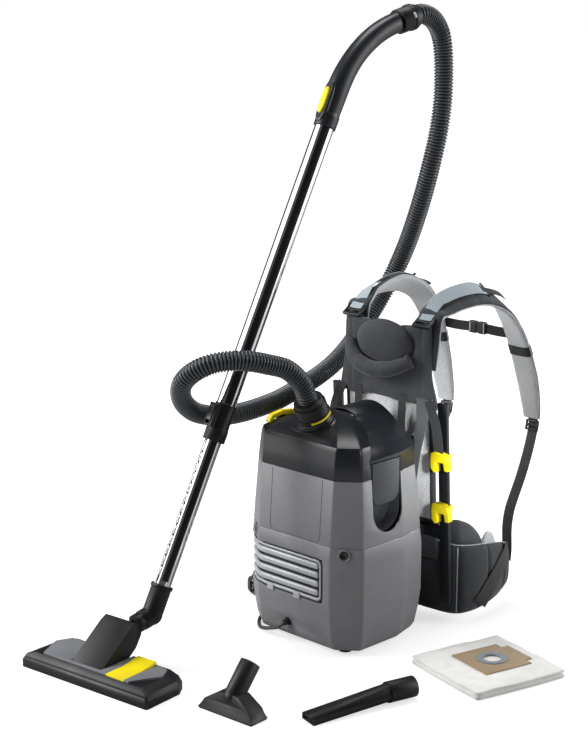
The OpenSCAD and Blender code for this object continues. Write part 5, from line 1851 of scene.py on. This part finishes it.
    def lower(self, sign: float, side: str) -> None:
        """The lower webbing, from the strap's buckle down to the belt.

        Args:
            sign: which side, -1 or 1.
            side: the side's word in the names.
        """
        route = MM * np.array([
            [124, 505, 408], [124, 508, 394], [124, 513, 381], [124, 510.8, 364.5], [127, 498, 336],
            [131, 478, 300], [135, 455, 264], [138, 430, 228], [142, 410, 200], [146, 398, 166],
            [148, 397, 120], [147, 396, 92],
        ])  # fmt: skip
        path = resample(catmull(route, 8), 70)
        path[:, 0] *= sign
        strip = surface(f"lower_webbing_{side}", strap_grid(path, (1, 0, 0), 0.013, 0.0012), FADED_WEBBING)
        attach(strip, "root")
        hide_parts("lower_webbing")

    def build(self) -> None:
        """Makes both straps and what is on them."""
        for make in (self.strap, self.webbing, self.keeper, self.lower):
            for sign, side in SIDES:
                make(sign, side)
        self.chest()
        refined("strap_buckles", "ladder_buckles", BLACK_ABS, "root", 0.9)


@dataclass
class Yoke:
    """The sewn panel across the shoulders, its oval pad, the grip roll and the webbing below.

    Attributes:
        half_low: half the panel's width at its lower edge.
        half_high: half its width at its upper edge.
        low_z: height of its lower edge.
        high_z: height of its upper edge.
        pad_z: height of the pad's middle.
        pad_back: y of the pad's flat back.
    """

    half_low: float = 0.137
    half_high: float = 0.117
    low_z: float = 0.478
    high_z: float = 0.642
    pad_z: float = 0.601
    pad_back: float = 0.1530

    def panel(self) -> None:
        """The yoke: level sections of a soft slab, bowed forward, with sewn edges and a dip at the neck."""
        rows, n = 72, 112
        t = np.linspace(0, 1, rows)[:, None]
        x, y = soft_square(n, 0.55, 0.5)
        half = self.half_low + (self.half_high - self.half_low) * t**1.1 - 0.007 * np.sin(math.pi * t) ** 2
        across = x[None] * half
        top = self.high_z - 0.016 * np.exp(-((across / 0.03) ** 2))
        top = top + 0.012 * np.clip((np.abs(across) - 0.075) / 0.03, 0, 1) ** 1.5
        low = self.low_z + 0.004 * np.cos(across * 26) - 0.003 * np.sin(across * 61)
        z = low + (top - low) * t
        soft = fullness(t, 0.07, 0.12)
        seam = 1 - 0.35 * np.exp(-(((np.abs(across) - 0.098) / 0.004) ** 2)) * (t > 0.08)
        depth = 0.0064 * soft * seam
        middle = 0.1606 - 0.004 * (1 - (across / self.half_low) ** 2)
        middle = middle - 0.0016 * np.sin(across * 47 + 5 * t) * np.sin(math.pi * t)
        middle = middle - 0.0012 * np.sin(across * 90 - 11 * t)
        grid = np.stack([across, middle + y[None] * depth, z], -1)
        panel = surface("yoke_cloth", grid, PACK_CLOTH)
        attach(panel, "root")
        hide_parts("yoke_panel")

    def pad(self) -> None:
        """The oval pad on the yoke, swelled by cloth simulation inside its seam."""
        rings, n = 16, 72
        t = np.linspace(0.02, 1, rings)
        angle = circle(n)
        crown = 0.0165 * (1 - t**3.2)
        front = np.stack(
            [
                t[:, None] * 0.078 * np.cos(angle),
                0.1465 - crown[:, None] + 0 * angle,
                self.pad_z + t[:, None] * 0.0475 * np.sin(angle),
            ],
            -1,
        )
        back = front[::-1].copy()
        back[..., 1] = self.pad_back
        pad = surface("yoke_pad_cloth", np.vstack([front, back]), PACK_CLOTH)
        puffed(pad, 0.004, 4.0, 0.005)
        box_uv(pad)
        self.keep(pad, self.pad_back)
        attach(pad, "root")
        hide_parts("yoke_pad")
        a = np.linspace(0, 2 * math.pi, 97)[:-1]
        line = np.stack([0.0768 * np.cos(a), 0.1482 + 0 * a, self.pad_z + 0.0463 * np.sin(a)], -1)
        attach(surface("yoke_pad_seam", closed_tube(line, 0.0013, 8), BLACK_WEBBING, ring=True), "root")

    @staticmethod
    def keep(piece: Piece, back_y: float) -> None:
        """Holds a pad's points in front of the plane that it rests on.

        Args:
            piece: the pad.
            back_y: place of that plane.
        """
        co = np.empty(len(piece.data.vertices) * 3)
        piece.data.vertices.foreach_get("co", co)
        co[1::3] = np.minimum(co[1::3], back_y)
        piece.data.vertices.foreach_set("co", co.astype(np.float32))
        piece.data.polygons.foreach_set("use_smooth", np.ones(len(piece.data.polygons), bool))
        piece.data.update()

    def roll(self) -> None:
        """The padded grip roll below the pad, a tube with domed ends and a seam."""
        y = 0.160
        route = np.array(
            [
                [-0.094, y - 0.014, 0.588], [-0.078, y - 0.027, 0.570], [-0.052, y - 0.036, 0.554],
                [-0.012, y - 0.040, 0.545], [0.030, y - 0.036, 0.549], [0.058, y - 0.028, 0.559],
                [0.074, y - 0.020, 0.568],
            ]
        )  # fmt: skip
        path = resample(catmull(route, 8), 60)
        share = np.linspace(0, 1, len(path))
        radius = 0.0132 + 0.0038 * np.sin(math.radians(170) * share)
        radius = radius * (1 + 0.015 * np.sin(share * 38) + 0.01 * np.sin(share * 91))
        grid = tube(*rounded_ends(path, radius, 0.35), 28)
        roll = surface("grip_roll_cloth", grid, PACK_CLOTH)
        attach(roll, "root")
        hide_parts("grip_roll")
        end, out = path[-1], unit(path[-1] - path[-4])
        profile = [[0.0001, 0.0052], [0.0125, 0.0046], [0.0150, 0.0026], [0.0156, -0.0020], [0.0001, -0.0020]]
        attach(turned_ring("grip_roll_end", end + 0.002 * out, out, profile, PACK_CLOTH), "root")

    def hanging(self) -> None:
        """Webbing below the yoke: two straps down the back, one from each corner to its rail, one loose."""
        steps = np.linspace(0, 1, 60)
        narrowing = np.interp(steps, [0, 0.3, 0.75, 1], [0.0165, 0.0150, 0.0070, 0.0050])
        for name, half, route in (
            ("yoke_webbing_left", 0.0105,
             [[-76, 152, 496], [-75, 149.5, 440], [-74, 149, 380], [-73, 150, 330]]),
            ("yoke_webbing_right", 0.0105,
             [[48, 151, 496], [49, 149.5, 440], [50, 149, 380], [51, 150, 330]]),
            ("rail_webbing_right", 0.0125,
             [[122, 150, 492], [135, 149, 462], [146, 150, 430], [149, 154, 384]]),
            ("rail_webbing_left", 0.0125,
             [[-122, 150, 492], [-135, 149, 462], [-146, 150, 430], [-149, 154, 384]]),
            ("loose_webbing", narrowing,
             [[104, 152, 494], [107, 146, 440], [99, 143, 380], [92, 144, 320], [88, 146, 290]]),
        ):  # fmt: skip
            path = resample(catmull(np.array(route) * MM, 10), len(steps))
            path[:, 1] += 0.0008 * np.sin(run_length(path) * 55)
            finish = FADED_WEBBING if name == "loose_webbing" else BLACK_WEBBING
            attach(surface(name, strap_grid(path, (1, 0, 0), half, 0.0009), finish), "root")

    def build(self) -> None:
        """Makes the yoke's pieces."""
        self.panel()
        self.pad()
        self.roll()
        self.hanging()


@dataclass
class HipBelt:
    """The padded hip belt that wraps round the waist, with lining, piping and quilted seams.

    Attributes:
        height: at the back.
        half_thick: half its thickness.
        low: height of its lower edge at the back.
    """

    height: float = 0.160
    half_thick: float = 0.0125
    low: float = 0.016

    def path(self) -> Points:
        """Plan of the belt's middle, from the left wing round the back to the right wing.

        Returns:
            Points of that line.
        """
        route = np.array(
            [
                [-148, 392], [-166, 340], [-175, 290], [-173, 240], [-152, 207], [-90, 201], [0, 200],
                [90, 201], [152, 207], [173, 240], [175, 290], [166, 340], [148, 392],
            ]
        )  # fmt: skip
        flat = catmull(np.hstack([route * MM, np.zeros((13, 1))]), 10)
        return resample(flat, 220)

    def place(self, share: Points, level: Points, out: Points) -> Points:
        """A point on the belt: along it, up it and out from its middle.

        Args:
            share: place along the belt from 0 to 1.
            level: place up the belt from 0 to 1.
            out: way out, as a share of half its thickness: -1 at the inner face, 1 at the outer one.

        Returns:
            The points.
        """
        path = self.path()
        runs = np.linspace(0, 1, len(path))
        heading = unit(np.gradient(path, axis=0))
        side = np.cross(heading, [0, 0, 1.0])
        at = [np.interp(share, runs, path[:, k]) for k in range(2)]
        normal = [np.interp(share, runs, side[:, k]) for k in range(2)]
        u = np.abs(2 * share - 1)
        rise = self.height * (1 - 0.42 * u**3)
        z0 = self.low + (self.height - rise) * 0.35
        depth = self.half_thick * (1 - np.abs(2 * level - 1) ** 3.2) ** 0.5
        taper = np.clip((1 - u) / 0.03, 0.25, 1) ** 0.5
        reach = out * depth * taper
        return np.stack([at[0] + normal[0] * reach, at[1] + normal[1] * reach, z0 + rise * level], -1)

    def pad(self) -> None:
        """The belt's body: dark cloth outside with upright seams, mesh inside."""
        rows, n = 260, 48
        share = np.linspace(0, 1, rows)[:, None]
        angle = circle(n, 0.5)
        level = 0.5 + 0.5 * np.sin(angle)[None, :] * np.ones_like(share)
        level = 0.5 + 0.5 * np.sign(level - 0.5) * np.abs(2 * level - 1) ** 0.8
        out = np.sign(np.cos(angle))[None, :] * np.ones_like(share)
        seams = np.array([0.06, 0.16, 0.27, 0.73, 0.84, 0.94])
        dip = np.exp(-(((share - seams[None, :]) / 0.006) ** 2)).sum(1)[:, None]
        out = out * (1 - 0.30 * dip)
        grid = self.place(np.broadcast_to(share, out.shape), level, out)
        facing = np.zeros((rows - 1, n), np.int32)
        facing[:, (np.cos(angle) < 0)] = 1
        ends = (np.abs(2 * share[:-1, 0] - 1) > 0.72)[:, None] & (np.cos(angle) < 0)[None, :]
        facing[ends] = 2
        belt = surface("hip_belt_pad", grid, [PACK_CLOTH, DARK_MESH, LIGHT_MESH], face_finish=facing)
        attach(belt, "root")
        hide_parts("hip_belt")

    def piping(self) -> None:
        """Light piping along the top and bottom edges and on the upright seams."""
        share = np.linspace(0.004, 0.996, 240)
        for word, level in (("top", 0.995), ("bottom", 0.005)):
            line = self.place(share, np.full_like(share, level), np.zeros_like(share))
            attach(surface(f"belt_piping_{word}", tube(line, 0.0016, 8), PIPING), "root")
        level = np.linspace(0.03, 0.97, 40)
        for word, at in (("left", 0.27), ("right", 0.73)):
            line = self.place(np.full_like(level, at), level, np.full_like(level, 0.74))
            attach(surface(f"belt_piping_{word}", tube(line, 0.0013, 8), PIPING), "root")

    def cushion(self, name: str, span: tuple, top: float, depth: tuple, finish: Finish) -> None:
        """A cushion on the belt's lining that stands above its top edge.

        Args:
            name: its name.
            span: where it starts and ends along the belt.
            top: how high it reaches, in belt heights.
            depth: where its faces lie, in halves of the belt's thickness from its middle.
            finish: its finish.
        """
        share = np.linspace(*span, 70)[:, None]
        swell = np.sin(np.pi * np.linspace(0.03, 0.97, 70))[:, None] ** 0.28
        x, y = soft_square(40, 0.7, 0.7)
        high = 0.30 + (top - 0.30) * swell
        level = 0.30 + (high - 0.30) * (0.5 + 0.5 * y)
        out = depth[0] + (depth[1] - depth[0]) * (0.5 + 0.5 * swell * x)
        share = np.broadcast_to(share, level.shape)
        base = self.place(share, np.full_like(level, 0.5), out)
        middle = np.zeros_like(level)
        foot, crown = self.place(share, middle, middle), self.place(share, middle + 1, middle)
        base[..., 2] = foot[..., 2] + level * (crown[..., 2] - foot[..., 2])
        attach(surface(name, base, finish), "root")

    def lumbar(self) -> None:
        """The cloth between belt and back mesh."""
        rows, n = 40, 80
        t = np.linspace(0, 1, rows)[:, None]
        x, y = soft_square(n, 0.5, 0.5)
        x = x * 0.126 * (1 + 0.02 * np.sin(9 * t))
        soft = fullness(t, 0.08, 0.2)
        y = 0.1835 + 0.0055 * soft * y + 0.001 * np.sin(60 * x + 8 * t)
        z = np.broadcast_to(0.138 + 0.104 * t, x.shape)
        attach(surface("lumbar_cloth", np.stack([x, y, z], -1), PACK_CLOTH), "root")

    def wing_strap(self, sign: float, side: str) -> None:
        """The wide webbing that runs slantwise over a wing, from its lower edge to the strap's webbing.

        Args:
            sign: which side, -1 or 1.
            side: the side's word in the names.
        """
        t = np.linspace(0, 1, 60)
        share = 0.5 + sign * (0.30 + 0.17 * t)
        level = 0.10 + 0.78 * t**0.9
        line = self.place(share, level, np.full_like(t, 1.0))
        near = self.place(share, level, np.full_like(t, 0.0))
        normal = unit(line - near)
        heading = unit(np.gradient(line, axis=0))
        across = unit(np.cross(normal, heading))
        w, h = across * 0.021, normal * 0.0011
        line = line + normal * 0.0018
        grid = np.stack([line - w - h, line + w - h, line + w + h, line - w + h], axis=1)
        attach(surface(f"wing_webbing_{side}", grid, BLACK_WEBBING, smooth=False), "root")

    def build(self) -> None:
        """Makes the belt's pieces."""
        self.pad()
        self.piping()
        self.lumbar()
        self.cushion("lining_cushion_right", (0.60, 0.875), 1.33, (-2.1, -0.9), DARK_MESH)
        self.cushion("lining_cushion_left", (0.125, 0.40), 1.33, (-2.1, -0.9), DARK_MESH)
        self.cushion("wing_lining_right", (0.835, 0.955), 1.19, (-1.6, -0.6), LIGHT_MESH)
        self.cushion("wing_lining_left", (0.045, 0.165), 1.19, (-1.6, -0.6), LIGHT_MESH)
        for sign, side in SIDES:
            self.wing_strap(sign, side)


@dataclass
class Frame:
    """Rails and bars behind the casing, the back mesh, and the sliding hooks.

    Attributes:
        top: middle of the rails' upper end.
        lean: lean of the rails in radians.
        half_width: half the mesh's width.
    """

    top: tuple[float, float, float] = (0.0, 0.165, 0.488)
    lean: float = math.radians(3.0)
    half_width: float = 0.114

    def on_rails(self, x: Points, y: Points, z: Points) -> Points:
        """Turns coordinates of the rails' own frame into the object's."""
        c, s = math.cos(self.lean), math.sin(self.lean)
        return np.stack([x, self.top[1] + c * y - s * z, self.top[2] + s * y + c * z], -1)

    def mesh_panel(self) -> None:
        """The back mesh: a soft panel with rows of small waffle dimples and a bound edge."""
        rows, n = 150, 240
        v = np.linspace(0, 1, rows)[:, None]
        x, y = soft_square(n, 0.5, 0.35)
        soft = fullness(v, 0.03, 0.25)
        px = x[None] * self.half_width * np.ones_like(v)
        pz = -0.262 + 0.268 * v * np.ones_like(px)
        waffle = 0.00045 * np.sin(px * 2 * math.pi / 0.007) * np.sin(pz * 2 * math.pi / 0.007)
        py = 0.0015 + y[None] * (0.0078 * soft + 2 * waffle)
        panel = surface("back_mesh_cloth", self.on_rails(px, py, pz), LIGHT_MESH)
        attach(panel, "root")
        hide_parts("back_mesh")
        for sign, side in SIDES:
            z = np.linspace(-0.262, 0.004, 40)
            line = self.on_rails(np.full_like(z, sign * 0.1165), np.full_like(z, 0.0015), z)
            grid = band(line, (1, 0, 0), 0.0050, 0.0062, 20, 0.5)
            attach(surface(f"mesh_binding_{side}", grid, BLACK_WEBBING), "root")

    def build(self) -> None:
        """Makes rails, mesh and hooks."""
        refined("harness_frame", "rail_frame", BLACK_ABS, "root", 1.4)
        refined("rail_hook_upper", "cord_hook_upper", YELLOW_POM, "hook_upper", 1.2)
        refined("rail_hook_lower", "cord_hook_lower", YELLOW_POM, "hook_lower", 1.2)
        self.mesh_panel()


# ---- the whole machine


def corners(box: tuple[Vector, Vector]) -> list[list[float]]:
    """Turns a box into plain lists."""
    return [[float(x) for x in corner] for corner in box]


def main() -> None:
    """Builds every sub-assembly in order."""
    logging.basicConfig(level=logging.INFO, format="%(name)s: %(message)s")
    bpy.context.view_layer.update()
    Studio().build()
    for part in (
        SuctionHose(), MainsCord(), Casing(), Lid(), Interior(), Wand(), FloorTool(), SmallTools(),
        SpareBag(), ShoulderStraps(), Yoke(), HipBelt(), Frame(),
    ):  # fmt: skip
        part.build()
        LOG.info("%s built", type(part).__name__)


if __name__ == "__main__":
    main()
